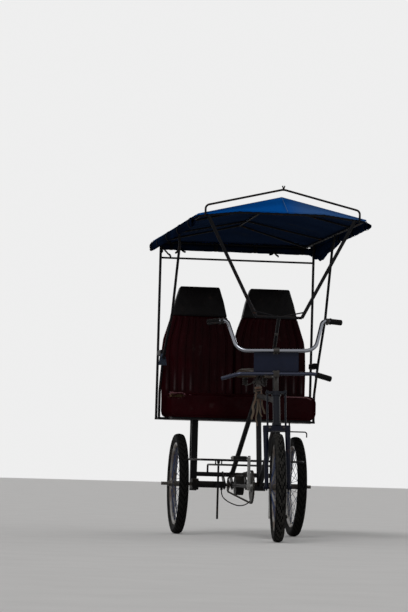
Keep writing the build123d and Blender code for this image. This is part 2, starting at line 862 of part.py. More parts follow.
# Brake lever under the right grip
lever_tip = Vector(*riser_half[-1])
lever_in = (Vector(*riser_half[-2]) - lever_tip).normalized()
lever_root = lever_tip + lever_in * (riser_grip_length + lever_setback)
half_clamp = lever_in * lever_clamp_length / 2
lever_clamp = rod(lever_root - half_clamp, lever_root + half_clamp, bar_diameter + 2 * lever_clamp_wall)
lever_bend = lever_root + Vector(*lever_drop)
lever_end = lever_bend + Vector(lever_length, *lever_rise)
lever = lever_clamp + rod(lever_root, lever_bend, lever_stalk)
lever += rod(lever_bend, lever_end, lever_blade)
lever += Pos(*lever_bend) * Sphere(lever_stalk / 2)
lever += Pos(*lever_end) * Sphere(lever_blade * lever_tip_share)
write_part("brake_lever", turned(other_side(less(lever, riser_bar))))

# Passenger footrest of rods between the bench legs and the rider
rail_rear_y = leg_front_y - deck_rod / 2 - soft_gap
deck_rim = [
    (-deck_half_width, rail_rear_y, deck_height),
    (-deck_half_width, deck_front_y, deck_height),
    (deck_half_width, deck_front_y, deck_height),
    (deck_half_width, rail_rear_y, deck_height),
]
deck_solid = bent_rod(deck_rim, deck_bend, deck_rod)
deck_solid += across(0, rail_rear_y, deck_height, deck_rod, 2 * deck_half_width + deck_rod * 2)
for rail_y in (deck_rear_y, (deck_front_y + deck_rear_y) / 2):
    deck_solid += across(0, rail_y, deck_height, deck_cross_rod, 2 * deck_half_width)
for index in range(deck_slats):
    slat_x = -deck_half_width + (index + 1) * 2 * deck_half_width / (deck_slats + 1)
    deck_solid += rod(
        (slat_x, deck_front_y, deck_height), (slat_x, deck_rear_y, deck_height), deck_slat
    )
write_part("foot_deck", deck_solid)

# Bench legs on the axle housing, and thin props on the footrest's side rails
prop = rod(
    (deck_half_width, bench_prop_y, deck_height), (deck_half_width, bench_prop_y, pan_height), bench_prop
)
prop = less(prop, deck_solid)
legs = [rear_leg.solid(), other_side(rear_leg).solid(), prop, other_side(prop).solid()]
write_part("bench_legs", Compound(children=legs))

# Lower rails that carry the footrest from the cross beam and the seat tube; a prop
# stands under the cross rails on each
carrier_points = [
    (carrier_x, beam_y, beam_height),
    (carrier_x, beam_y, deck_lower_height),
    (carrier_x, carrier_prop_y, deck_lower_height),
    (carrier_nose_x, deck_front_y, deck_lower_height),
    (deck_rod / 2 + carrier_middle_gap, seat_y(deck_lower_height), deck_lower_height),
]
left_carrier = bent_rod(carrier_points, deck_bend / 2, deck_rod)
for prop_y in (carrier_prop_y + 2 * deck_bend, deck_rear_y - 2 * deck_bend):
    left_carrier += rod(
        (carrier_x, prop_y, deck_lower_height), (carrier_x, prop_y, deck_height), deck_slat
    )
left_carrier = less(left_carrier, rear_beam, deck_solid, seat_tube)
write_part("deck_carriers", both_sides(left_carrier))

# Drop rod in front of the axle, and its bracket
drop_rod_top = deck_lower_height + drop_rod_head
drop_rod = rod(
    (drop_rod_x, drop_rod_y, drop_rod_foot), (drop_rod_x, drop_rod_y, drop_rod_top), drop_rod_diameter
)
drop_rod += Pos(drop_rod_x, drop_rod_y, drop_rod_top) * Sphere(drop_rod_diameter * drop_rod_knob_share)
drop_rod += block(
    (drop_rod_x, (drop_rod_y - drop_rod_diameter) / 2, axle_height),
    (drop_rod_bracket, drop_rod_diameter - drop_rod_y, drop_rod_bracket),
)
drop_rod = less(drop_rod, right_housing, axle_room)
write_part("drop_rod", drop_rod)

# Bare hoop over the left tyre
guard_points = [
    (leg_middle + leg_size / 2, beam_y, guard_height),
    (guard_reach, beam_y, guard_height),
    (guard_reach, beam_y, guard_height - guard_drop),
]
write_part("guard_rod", bent_rod(guard_points, guard_bend, guard_rod))

# Bench: pan, cushion, backs and head rests
pan_front = cushion_front + pan_front_step
pan_rear = back_foot_y + back_thickness / 2 + pan_rear_step
pan_middle = pan_height + pan_thickness / 2
pan = block(
    (0, (pan_front + pan_rear) / 2, pan_middle),
    (2 * pan_half_width, pan_rear - pan_front, pan_thickness),
)
post_tab = post_diameter + post_tab_margin
for side in (-1, 1):
    for tab_y in (post_rear_y, front_post_foot_y):
        pan += block(
            (side * (post_x + pan_half_width) / 2, tab_y, pan_middle),
            (post_x - pan_half_width + post_diameter, post_tab, pan_thickness),
        )
write_part("bench_pan", pan)
cushion = block(
    (0, (cushion_front + cushion_rear) / 2, (cushion_bottom + cushion_top) / 2),
    (2 * cushion_half_width, cushion_depth, cushion_thickness),
)
cushion = fillet(cushion.edges().filter_by(Axis.Y), cushion_corner)
write_part("bench_cushion", cushion)


def back_slab(outline, thickness):
    # An outline of (x, height) points, extruded front to back and leant rearwards
    slab = extrude(Plane.XZ * make_face(Polyline(*outline, close=True)), thickness / 2, both=True)
    lean = Pos(0, back_foot_y, cushion_bottom) * Rot(-back_lean, 0, 0) * Pos(0, 0, -cushion_bottom)
    return lean * slab


lean_stretch = 1 / math.cos(math.radians(back_lean))


def leant(x, height):
    return x, cushion_bottom + (height - cushion_bottom) * lean_stretch


back_outline = [
    leant(back_gap / 2, cushion_bottom + back_foot_lift),
    leant(back_half_width, cushion_bottom + back_foot_lift),
    leant(back_half_width, back_shoulder_height),
    leant(back_top_outer, back_top_height),
    leant(back_top_inner, back_top_height),
    leant(back_gap / 2, back_inner_shoulder),
]
head_outline = [
    leant(back_top_inner, back_top_height + soft_gap),
    leant(back_top_outer, back_top_height + soft_gap),
    leant(head_top_outer, head_top_height),
    leant(head_top_inner, head_top_height),
]
left_back = back_slab(back_outline, back_thickness)
left_head = back_slab(head_outline, head_thickness)
write_part("seat_back_left", left_back)
write_part("seat_back_right", other_side(left_back))
write_part("head_rest_left", left_head)
write_part("head_rest_right", other_side(left_head))

# Canopy posts, arm rests and cross bar
pan_top = pan_height + pan_thickness
eave_z = roof_eave(post_rear_y)[1]
rail_drop = under_roof(rail_diameter)
rear_post = rod(
    (post_x, post_rear_y, pan_top), (post_x, post_rear_y, eave_z - rail_drop), post_diameter
)
head_y = front_post_head[1]
front_eave_x, front_eave_z = roof_eave(head_y)
rail_x = front_eave_x - rail_inset
front_post_points = [
    (post_x, front_post_foot_y, pan_top),
    (post_x, front_post_foot_y, pan_top + front_post_straight),
    front_post_knee,
    front_post_elbow,
    front_post_head,
    (rail_x, head_y - front_post_step, front_eave_z - rail_drop),
]
front_post = bent_rod(front_post_points, front_post_bend, post_diameter)


def front_post_y(height):
    knee = front_post_knee
    elbow = front_post_elbow
    share = (height - knee[2]) / (elbow[2] - knee[2])
    return knee[1] + (elbow[1] - knee[1]) * share


def side_rail():
    front_x, front_z = roof_eave(roof_front_y)
    rear_x, rear_z = roof_eave(roof_rear_y)
    return rod(
        (front_x - rail_inset, roof_front_y + rail_inset, front_z - rail_drop),
        (rear_x - rail_inset, roof_rear_y - rail_inset, rear_z - rail_drop),
        rail_diameter,
    )


left_rail = side_rail()
front_post = less(front_post, left_rail)
rear_post = less(rear_post, left_rail)
posts = [rear_post, other_side(rear_post).solid(), front_post, other_side(front_post).solid()]
write_part("canopy_posts", Compound(children=posts))
cross_bar = across(0, post_rear_y, cross_bar_height, cross_bar_diameter, 2 * post_x)
write_part("cross_bar", less(cross_bar, rear_post, posts[1]))
arm_solids = []
for side_name, side in (("left", 1), ("right", -1)):
    arm_z = arm_rest_heights[side_name]
    arm_front_y = front_post_y(arm_z)
    arm_x = side * (post_x - arm_inset)
    arm = rod((arm_x, arm_front_y, arm_z), (arm_x, post_rear_y, arm_z), arm_rod)
    pad_y = (arm_front_y + post_rear_y) / 2
    pad = block((arm_x, pad_y, arm_z), (arm_pad, arm_pad_length, arm_pad))
    arm += fillet(pad.edges(), arm_pad_round)
    arm_solids.append(less(arm, *posts))
write_part("arm_rests", Compound(children=arm_solids))

# Canopy rails, ribs and ridge under the cloth
rear_x, rear_z = roof_eave(roof_rear_y)
rail_end = roof_half_front - rail_inset
rail_xs = [-rail_end, -hem_flat_half, hem_flat_half, rail_end]
front_rail = bent_rod([front_rail_point(x) for x in rail_xs], hem_bend, rail_diameter)
rear_rail = across(
    0, roof_rear_y - rail_inset, rear_z - rail_drop, rail_diameter, 2 * (rear_x - rail_inset)
)
right_rail = other_side(left_rail)
front_rail = less(front_rail, left_rail, right_rail)
rear_rail = less(rear_rail, left_rail, right_rail)
rails = [left_rail.solid(), right_rail.solid(), front_rail, rear_rail]
write_part("canopy_rails", Compound(children=rails))
rib_drop = under_roof(rib_diameter)
ridge_tube = rod(
    (0, ridge_front_y + ridge_tube_step, ridge_front_height - rib_drop - ridge_drop),
    (0, ridge_rear_y, ridge_rear_height - rib_drop - ridge_drop),
    rib_diameter,
)
# y at the eave, y at the ridge
rib_rows = [
    (roof_front_y + rail_inset, ridge_front_y + ridge_tube_step),
    (rib_a_y, rib_a_y),
    (rib_b_y, rib_b_y),
    (roof_rear_y - rail_inset, ridge_rear_y),
]
ribs = ridge_tube
for foot_y, peak_y in rib_rows:
    half, height = roof_eave(foot_y)
    foot = (half - rail_inset, foot_y, height - rib_drop)
    peak = (0, peak_y, roof_ridge(peak_y) - rib_drop - ridge_drop)
    arm = rod(foot, peak, rib_diameter)
    ribs = ribs + arm + other_side(arm)
ribs = less(ribs, *rails)
write_part("canopy_ribs", ribs)

# Canopy cloth: gable, two slopes and a rear hip, one closed thin shell


def roof_points(lift):
    hem_y = roof_front_y + hem_rise * gable_lean
    hem_z = roof_eave_front + hem_rise + lift
    return {
        "hem_left": Vector(hem_flat_half, hem_y, hem_z),
        "hem_right": Vector(-hem_flat_half, hem_y, hem_z),
        "front_left": Vector(roof_half_front, roof_front_y, roof_eave_front + lift),
        "front_right": Vector(-roof_half_front, roof_front_y, roof_eave_front + lift),
        "apex": Vector(0, ridge_front_y, ridge_front_height + lift),
        "ridge_end": Vector(0, ridge_rear_y, ridge_rear_height + lift),
        "rear_left": Vector(roof_half_rear, roof_rear_y, roof_eave_rear + lift),
        "rear_right": Vector(-roof_half_rear, roof_rear_y, roof_eave_rear + lift),
    }


roof_faces = [
    ("front_left", "apex", "front_right", "hem_right", "hem_left"),
    ("front_left", "rear_left", "apex"),
    ("rear_left", "ridge_end", "apex"),
    ("front_right", "apex", "rear_right"),
    ("apex", "ridge_end", "rear_right"),
    ("rear_left", "rear_right", "ridge_end"),
]
roof_rim = ["front_left", "hem_left", "hem_right", "front_right", "rear_right", "rear_left"]
upper = roof_points(0)
lower = roof_points(-cloth_thickness)
cloth_faces = []
for level in (upper, lower):
    for corners in roof_faces:
        wire = Wire.make_polygon([level[corner] for corner in corners], close=True)
        cloth_faces.append(Face(wire))
for index, corner in enumerate(roof_rim):
    following = roof_rim[(index + 1) % len(roof_rim)]
    edge = [upper[corner], upper[following], lower[following], lower[corner]]
    cloth_faces.append(Face(Wire.make_polygon(edge, close=True)))
canopy_cover = Solid(Shell(cloth_faces))
write_part("canopy_cover", canopy_cover)

# Bow above the front gable
bow_y = roof_front_y - bow_setoff
bow_foot_y, bow_foot_z = front_rail_point(bow_half_width)[1:]
bow_corner_z = roof_eave_front + bow_rise
bow_points = [
    (-bow_half_width, bow_foot_y, bow_foot_z),
    (-bow_half_width, bow_y, bow_foot_z),
    (-bow_half_width, bow_y, bow_corner_z),
    (0, bow_y, bow_peak_height),
    (bow_half_width, bow_y, bow_corner_z),
    (bow_half_width, bow_y, bow_foot_z),
    (bow_half_width, bow_foot_y, bow_foot_z),
]
bow_bends = [bow_bend, bow_shoulder_bend, bow_peak_bend, bow_shoulder_bend, bow_bend]
front_bow = bent_rod(bow_points, bow_bends, bow_diameter)
for lean in (-bow_stub_lean, bow_stub_lean):
    stub_tip = (lean, bow_y, bow_peak_height + bow_stub_height)
    front_bow += rod((0, bow_y, bow_peak_height), stub_tip, bow_diameter * bow_stub_share)
front_bow = less(front_bow, *rails, ribs)
write_part("front_bow", front_bow)

# V struts, their base and braces, and the upright behind the handlebars
strut_top = front_rail_point(strut_top_x)
strut_foot = (strut_base_half, strut_base_y, strut_base_height)
left_strut = less(rod(strut_foot, strut_top, strut_diameter), *rails, front_bow, canopy_cover)
right_strut = other_side(left_strut).solid()
write_part("canopy_struts", Compound(children=[left_strut, right_strut]))
strut_base = across(0, strut_base_y, strut_base_height, strut_base_diameter, 2 * strut_base_half)
strut_run = Vector(*strut_top) - Vector(*strut_foot)
brace_end = Vector(*strut_foot) + strut_run * (brace_rise / strut_run.Z)
for side in (-1, 1):
    brace_top = (side * brace_end.X, brace_end.Y, brace_end.Z)
    strut_base += rod(brace_top, (0, strut_base_y, strut_base_height), brace_diameter)
strut_base = less(strut_base, left_strut, right_strut)
write_part("strut_base", strut_base)
axis_lean = math.cos(tilt_rad)
upright_offset = upright_setback / axis_lean
upright_foot_z = on_axis(head_top - head_cup_height - top_tube_drop).Z
kink = (0, axis_y(upright_kink_height) + upright_offset, upright_kink_height)
upright_points = [
    (0, axis_y(upright_foot_z) + upright_offset, upright_foot_z),
    kink,
    (0, strut_base_y, strut_base_height),
]
upright = bent_rod(upright_points, upright_bend, upright_diameter)
upright = less(upright, top_tube, strut_base)
write_part("upright", upright)

# Rolled-up curtains: one behind the rear posts and one under each side eave
rear_roll_y = post_rear_y + post_diameter / 2 + soft_gap + roll_diameter / 2
curtain_rear = across(0, rear_roll_y, roll_height, roll_diameter, 2 * post_x)
write_part("curtain_rear", curtain_rear)
side_roll_x = post_x + post_diameter / 2 + soft_gap
roll_front_y = roof_front_y + side_roll_inset
roll_rear_y = roof_rear_y - side_roll_inset


def side_curtain(hem):
    # A flattened roll under the left eave; hem lists (y, drop below the eave)
    top = [(roll_rear_y, roof_eave(roll_rear_y)[1]), (roll_front_y, roof_eave(roll_front_y)[1])]
    outline = [(y, height - side_roll_top) for y, height in top]
    outline += [(y, roof_eave(y)[1] - drop) for y, drop in hem]
    wire = Polyline(*outline, close=True)
    return extrude(Plane.YZ.offset(side_roll_x) * make_face(wire), side_roll_width)


even_hem = [(roll_front_y, side_roll_drop), (roll_rear_y, side_roll_drop)]
curtain_right = other_side(side_curtain(even_hem))
curtain_left = side_curtain([(roll_front_y, side_roll_drop * front_hem_share)] + sagging_hem)
write_part("curtain_left", curtain_left)
write_part("curtain_right", curtain_right)

# Cable that hangs between two clips under the axle housing
cable_runs = [(Vector(*a) - Vector(*b)).length for a, b in zip(cable_route, cable_route[1:])]
cable_radii = []
for index in range(1, len(cable_route) - 1):
    before = Vector(*cable_route[index]) - Vector(*cable_route[index - 1])
    after = Vector(*cable_route[index + 1]) - Vector(*cable_route[index])
    half_turn = math.radians(before.get_angle(after)) / 2
    shorter = min(before.length, after.length)
    cable_radii.append(cable_bend_share * shorter / math.tan(half_turn))
cable_path = FilletPolyline(*cable_route, radius=cable_radii)
cable_section = Plane(origin=cable_path @ 0, z_dir=cable_path % 0) * Circle(cable_diameter / 2)
hanging_cable = sweep(cable_section, path=cable_path)
write_part("hanging_cable", hanging_cable)
print("cable radii", [round(radius) for radius in cable_radii])
print("cable length", round(cable_path.length), "runs", round(sum(cable_runs)))
print("cable volume share", hanging_cable.volume / (cable_path.length * math.pi * cable_diameter**2 / 4))
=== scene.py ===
from math import asin, atan2, copysign, cos, exp, hypot, pi, radians, sin

import bmesh
import bpy
from mathutils import Matrix, Vector, noise


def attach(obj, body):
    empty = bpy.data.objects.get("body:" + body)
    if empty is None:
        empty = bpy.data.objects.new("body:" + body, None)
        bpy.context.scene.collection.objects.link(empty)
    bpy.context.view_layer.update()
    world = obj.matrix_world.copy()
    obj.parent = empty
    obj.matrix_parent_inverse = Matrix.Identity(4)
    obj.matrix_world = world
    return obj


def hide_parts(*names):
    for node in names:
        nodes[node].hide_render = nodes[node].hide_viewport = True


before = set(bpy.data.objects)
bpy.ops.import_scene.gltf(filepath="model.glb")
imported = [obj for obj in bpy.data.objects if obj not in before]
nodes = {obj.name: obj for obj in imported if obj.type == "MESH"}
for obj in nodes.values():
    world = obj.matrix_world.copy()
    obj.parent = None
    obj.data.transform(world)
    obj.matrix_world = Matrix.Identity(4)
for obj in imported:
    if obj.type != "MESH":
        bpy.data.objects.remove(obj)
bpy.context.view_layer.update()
scene = bpy.context.scene
print("frame loaded with", len(nodes), "nodes")

scene.view_settings.view_transform = "Standard"

# The wheels' middles, and the steering, which rests turned a little to the rider's right
axleY = 0.691
axleZ = 0.310
trackHalf = 0.3665
frontAxleY = -0.861
steering = {"foot": (0.0, -0.84739, 0.30673), "lean": 13.5, "turn": -6.0}
upward = Vector((0, 0, 1))


def linked(name, data):
    piece = bpy.data.objects.new(name, data)
    scene.collection.objects.link(piece)
    return piece


# Camera, where the picture was taken from
cameraSet = {
    "place": (-2.859, -17.687, 0.417),
    "yaw": 8.8437,  # degrees to the right of straight ahead
    "roll": 1.5237,
    "focal": 2986.7,  # pixels
    "pictureSize": (408, 612),
    "levelPixel": (236.73, 467.84),  # where straight ahead and level lies
    "sensor": 36.0,
}


def makeCamera(settings):
    yaw = radians(settings["yaw"])
    roll = radians(settings["roll"])
    right = Vector((cos(yaw), -sin(yaw), 0))
    ahead = Vector((sin(yaw), cos(yaw), 0))
    width, height = settings["pictureSize"]
    offX = width / 2 - settings["levelPixel"][0]
    offY = height / 2 - settings["levelPixel"][1]
    across = offX * cos(roll) + offY * sin(roll)
    down = offY * cos(roll) - offX * sin(roll)
    look = (ahead * settings["focal"] + right * across - upward * down).normalized()
    pictureRight = right * cos(roll) + upward * sin(roll)
    pictureRight = (pictureRight - look * pictureRight.dot(look)).normalized()
    pictureUp = pictureRight.cross(look)
    lens = bpy.data.cameras.new("camera")
    lens.sensor_width = settings["sensor"]
    lens.lens = settings["focal"] * settings["sensor"] / height
    lens.clip_end = 200
    camera = linked("camera", lens)
    turned = Matrix((pictureRight, pictureUp, -look)).transposed().to_4x4()
    camera.matrix_world = Matrix.Translation(settings["place"]) @ turned
    scene.camera = camera


makeCamera(cameraSet)

# Cable that hangs in a loop under the axle housing
hangingCable = {
    "diameter": 0.007,
    "length": 0.310,
    "route": [
        (-0.092, axleY, 0.2775),
        (-0.091, axleY, 0.256),
        (-0.083, axleY, 0.233),
        (-0.058, axleY, 0.211),
        (-0.024, axleY, 0.194),
        (0.014, axleY, 0.182),
        (0.052, axleY, 0.185),
        (0.083, axleY, 0.204),
        (0.102, axleY, 0.230),
        (0.110, axleY, 0.254),
        (0.112, axleY, 0.2775),
    ],
}


def makeCable(settings):
    route = settings["route"]
    curve = bpy.data.curves.new("axleCable", "CURVE")
    curve.dimensions = "3D"
    spline = curve.splines.new("NURBS")
    spline.points.add(len(route) - 1)
    for point, place in zip(spline.points, route):
        point.co = (*place, 1)
        point.radius = settings["diameter"] / 2
    spline.order_u = 3
    spline.use_endpoint_u = True
    curve.resolution_u = 12
    curve.bevel_depth = 1.0
    curve.bevel_resolution = 4
    curve.use_fill_caps = True
    piece = linked("axleCable", curve)
    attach(piece, "frame")
    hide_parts("hanging_cable")
    return piece


axleCable = makeCable(hangingCable)
print("camera and cable made")


# One socket of a shader, so that sums and products add their Math nodes
class Signal:
    def __init__(self, finish, socket):
        self.finish = finish
        self.socket = socket

    def math(self, operation, *others):
        return self.finish.add("Math", {"operation": operation}, [self, *others])

    def __add__(self, other):
        return self.math("ADD", other)

    def __mul__(self, other):
        return self.math("MULTIPLY", other)

    __radd__ = __add__
    __rmul__ = __mul__

    def __sub__(self, other):
        return self.math("SUBTRACT", other)

    def __rsub__(self, other):
        return self.finish.add("Math", {"operation": "SUBTRACT"}, [other, self])

    def rise(self, low, high):
        # 0 below low, 1 above high, smooth between
        ends = {"Value": self, "From Min": low, "From Max": high}
        return self.finish.add("MapRange", {"interpolation_type": "SMOOTHSTEP"}, ends)

    def fall(self, low, high):
        return 1 - self.rise(low, high)


# One material, with short calls for the patterns that it is mixed from
class Finish:
    sockets = {
        "colour": "Base Color", "rough": "Roughness", "metal": "Metallic", "normal": "Normal",
        "coat": "Coat Weight", "coatRough": "Coat Roughness", "sheen": "Sheen Weight",
        "spec": "Specular IOR Level",
    }

    def __init__(self, name):
        self.material = bpy.data.materials.new(name)
        self.material.use_nodes = True
        self.tree = self.material.node_tree
        self.shader = self.tree.nodes["Principled BSDF"]
        self.coords = self.add("TexCoord", {}, {}, "Object")

    def add(self, kind, settings, values, out=0):
        node = self.tree.nodes.new("ShaderNode" + kind)
        for key, value in settings.items():
            setattr(node, key, value)
        pairs = values.items() if isinstance(values, dict) else enumerate(values)
        for key, value in pairs:
            self.feed(node.inputs[key], value)
        return Signal(self, node.outputs[out])

    def feed(self, socket, value):
        if isinstance(value, Signal):
            self.tree.links.new(value.socket, socket)
        elif socket.type == "RGBA":
            socket.default_value = (*value, 1)
        else:
            socket.default_value = value

    def set(self, **values):
        for key, value in values.items():
            self.feed(self.shader.inputs[self.sockets[key]], value)
        return self

    def placed(self, scale=(1, 1, 1), shift=(0, 0, 0), turn=(0, 0, 0)):
        return self.add("Mapping", {}, {"Vector": self.coords, "Location": shift, "Rotation": turn,
                                        "Scale": scale})

    def cloud(self, scale, detail=3, rough=0.55, vector=None, warp=0.0):
        return self.add("TexNoise", {}, {"Vector": vector or self.coords, "Scale": scale,
                                         "Detail": detail, "Roughness": rough, "Distortion": warp})

    def cells(self, scale, feature="F1"):
        return self.add("TexVoronoi", {"feature": feature}, {"Vector": self.coords, "Scale": scale})

    def stripes(self, scale, axis):
        return self.add("TexWave", {"bands_direction": axis}, {
            "Vector": self.coords, "Scale": scale, "Detail": 1.0}, 1)

    def blend(self, share, first, second):
        return self.add("Mix", {"data_type": "RGBA"}, {0: share, 6: first, 7: second}, 2)

    def bump(self, height, strength, distance, under=None):
        values = {"Height": height, "Strength": strength, "Distance": distance}
        if under:
            values["Normal"] = under
        return self.add("Bump", {}, values)

    def part(self, letter, vector=None):
        return self.add("SeparateXYZ", {}, [vector or self.coords], letter)

    def facing(self, letter):
        # how far the surface faces along that axis
        return self.part(letter, self.add("NewGeometry", {}, {}, "Normal"))

    def fromAxle(self, x, y, z, turn):
        # distance from a wheel's axle, and how far out from its middle plane; turn undoes the steering's
        hub = Matrix.Rotation(turn, 3, "Z") @ Vector((0, y, z))
        placed = self.placed(shift=-hub, turn=(0, 0, turn))
        along = self.part("Y", placed)
        up = self.part("Z", placed)
        return (along * along + up * up).math("SQRT"), self.part("X", placed).math("ABSOLUTE") - x


def paint(name, base, chip, gloss, chipAmount, dust, coat=0.06):
    # Brushed enamel over steel: small chips in worn patches, dust where it faces up
    finish = Finish(name)
    patches = finish.cloud(6, 3).rise(0.62 - chipAmount * 0.2, 0.72)
    chips = finish.cloud(70, 5, 0.65).rise(0.56, 0.60) * patches
    specks = finish.cells(120).fall(0.10, 0.16) * finish.cloud(11, 2).rise(0.5, 0.62)
    bare = (chips + specks).math("MINIMUM", 1.0)
    tone = finish.blend(finish.cloud(14, 4), base, tuple(min(1, part * 1.7 + 0.002) for part in base))
    rusty = finish.blend(finish.cloud(160, 3).rise(0.4, 0.62), chip, (0.045, 0.020, 0.012))
    settled = finish.facing("Z").rise(0.15, 0.95) * finish.cloud(24, 4).rise(0.30, 0.70) * dust
    colour = finish.blend(settled, finish.blend(bare, tone, rusty), (0.12, 0.10, 0.085))
    rough = gloss + bare * 0.38 + settled * 0.35 + finish.cloud(38, 3) * 0.14
    brushed = finish.bump(finish.cloud(260, 2), 0.12, 0.0006)
    chipped = finish.bump(1 - bare, 0.35, 0.0006, brushed)
    return finish.set(colour=colour, rough=rough, normal=chipped, spec=0.06, coat=coat, coatRough=0.22)


def metal(name, base, rough, tarnish, stain):
    # Plated or bare metal with tarnish, pits and fine scratches
    finish = Finish(name)
    worn = finish.cloud(9, 5, 0.6).rise(0.70 - stain * 0.35, 0.80 - stain * 0.2)
    pits = finish.cells(210).fall(0.08, 0.16) * finish.cloud(19, 2).rise(0.44, 0.60)
    dull = (worn * 0.8 + pits).math("MINIMUM", 1.0)
    scratched = finish.cloud(90, 3, 0.6, finish.placed((1, 1, 14)))
    colour = finish.blend(dull, base, tarnish)
    roughness = rough + dull * 0.36 + scratched * 0.12
    relief = finish.bump(scratched, 0.08, 0.0004, finish.bump(1 - pits, 0.3, 0.0005))
    return finish.set(colour=colour, rough=roughness, metal=1 - dull * 0.75, normal=relief)


def rubber(name, base, hub, worn, turn=0.0):
    # Tyre rubber: blocks scuffed grey, darker grooves and walls, dust near the rim
    finish = Finish(name)
    radius, out = finish.fromAxle(*hub, turn)
    raised = (radius - 0.3066 + out * out * 12).rise(0.0006, 0.0026)
    scuffed = raised * radius.rise(0.297, 0.300) * finish.cloud(45, 4).rise(0.10, 0.62) * worn
    nearRim = radius.fall(0.262, 0.280) * finish.cloud(18, 4).rise(0.35, 0.7) * 0.5
    mud = finish.cloud(7, 5, 0.6).rise(0.52, 0.74) * 0.16
    dusty = (scuffed + nearRim + mud).math("MINIMUM", 0.9)
    colour = finish.blend(dusty, base, (0.066, 0.063, 0.058))
    relief = finish.bump(finish.cloud(420, 3), 0.22, 0.0006)
    ribs = finish.bump(radius.math("MULTIPLY", 900).math("SINE") * radius.fall(0.292, 0.299), 0.16, 0.0006,
                       relief)
    return finish.set(colour=colour, rough=0.62 + dusty * 0.3, normal=ribs, spec=0.015)


def vinyl(name, base, light, gloss, grime, cracks):
    # Coated cloth: leather grain, fine cracks, scuffs and a dull film of dust
    finish = Finish(name)
    grain = finish.cells(520)
    wide = finish.cloud(5, 4)
    crack = finish.cells(85, "DISTANCE_TO_EDGE").fall(0.02, 0.06) * finish.cloud(7, 3).rise(0.56, 0.68)
    scuff = finish.cloud(16, 6, 0.65).rise(0.58, 0.76)
    settled = finish.facing("Z").rise(0.35, 1.0) * finish.cloud(19, 3).rise(0.25, 0.75) * grime
    film = (scuff * 0.22 + settled).math("MINIMUM", 1.0)
    colour = finish.blend(film, finish.blend(wide.rise(0.3, 0.75), base, light), (0.075, 0.050, 0.046))
    colour = finish.blend(crack * cracks, colour, (0.012, 0.006, 0.006))
    rough = gloss + film * 0.34 + finish.cloud(60, 3) * 0.13
    relief = finish.bump(grain, 0.16, 0.0005, finish.bump(1 - crack, 0.3, 0.0006))
    return finish.set(colour=colour, rough=rough, normal=relief, coat=0.04, coatRough=0.25, spec=0.04)


def cloth(name, base, faded, weave, fade, stain=(0.10, 0.09, 0.08), stains=0.25, sheen=0.06, rough=0.72,
          paleLeft=0.0):
    # Woven cloth: a plain weave, faded patches and water stains
    finish = Finish(name)
    warp = finish.stripes(weave, "X")
    weft = finish.stripes(weave, "Y")
    fading = finish.cloud(2.6, 5, 0.6).rise(0.36, 0.72) * fade
    stained = finish.cloud(5.5, 6, 0.62, warp=0.8).rise(0.55, 0.72) * stains
    colour = finish.blend(fading, base, faded)
    colour = finish.blend(stained, colour, stain)
    if paleLeft:
        # the rider's left half is blended to a paler, greyer blue
        colour = finish.blend(finish.part("X").rise(-0.01, 0.16) * paleLeft, colour, (0.075, 0.150, 0.300))
    colour = finish.blend(finish.cloud(320, 2) * 0.18, colour, tuple(part * 0.55 for part in base))
    relief = finish.bump(warp * weft, 0.18, 0.0005, finish.bump(finish.cloud(42, 4), 0.16, 0.002))
    return finish.set(colour=colour, rough=rough + stained * 0.2, normal=relief, sheen=sheen, spec=0.0)


framePaint = paint("framePaint", (0.0060, 0.0060, 0.0070), (0.075, 0.030, 0.014), 0.34, 0.45, 0.26)
canopyPaint = paint("canopyPaint", (0.0045, 0.0045, 0.0055), (0.090, 0.036, 0.016), 0.45, 0.7, 0.2, 0.03)
greasePaint = paint("greasePaint", (0.0045, 0.0043, 0.0041), (0.030, 0.019, 0.013), 0.48, 0.6, 0.3)
headPaint = paint("headPaint", (0.0045, 0.0055, 0.0095), (0.06, 0.035, 0.02), 0.18, 0.3, 0.08, 0.12)
forkPaint = paint("forkPaint", (0.0012, 0.0024, 0.0090), (0.07, 0.035, 0.020), 0.24, 0.45, 0.1, 0.08)
barChrome = metal("barChrome", (0.24, 0.25, 0.28), 0.10, (0.085, 0.055, 0.036), 0.4)
# painted shade: a darker, bluer copy of the bar chrome for the flat bar, standing in for the shade it sits in
shadedFlatChrome = metal("shadedFlatChrome", (0.040, 0.044, 0.066), 0.16, (0.050, 0.036, 0.026), 0.5)
crankSteel = metal("crankSteel", (0.40, 0.40, 0.39), 0.22, (0.10, 0.075, 0.055), 0.35)
nutSteel = metal("nutSteel", (0.30, 0.29, 0.28), 0.34, (0.090, 0.055, 0.035), 0.6)
dullSteel = metal("dullSteel", (0.050, 0.047, 0.045), 0.42, (0.018, 0.014, 0.012), 0.8)
axleSteel = metal("axleSteel", (0.080, 0.074, 0.068), 0.40, (0.026, 0.019, 0.015), 0.8)
chainSteel = metal("chainSteel", (0.032, 0.028, 0.025), 0.38, (0.022, 0.014, 0.010), 0.8)
tyreRubberRear = rubber("tyreRubberRear", (0.0040, 0.0040, 0.0043), (trackHalf, axleY, axleZ), 0.20)
tyreRubberFront = rubber("tyreRubberFront", (0.0040, 0.0040, 0.0043), (0.0, frontAxleY, axleZ), 0.6,
                         -radians(steering["turn"]))
gripRubber = vinyl("gripRubber", (0.0070, 0.0070, 0.0070), (0.013, 0.013, 0.013), 0.48, 0.3, 0.1)
benchVinyl = vinyl("benchVinyl", (0.0120, 0.0009, 0.0016), (0.0230, 0.0018, 0.0034), 0.24, 0.05, 0.5)
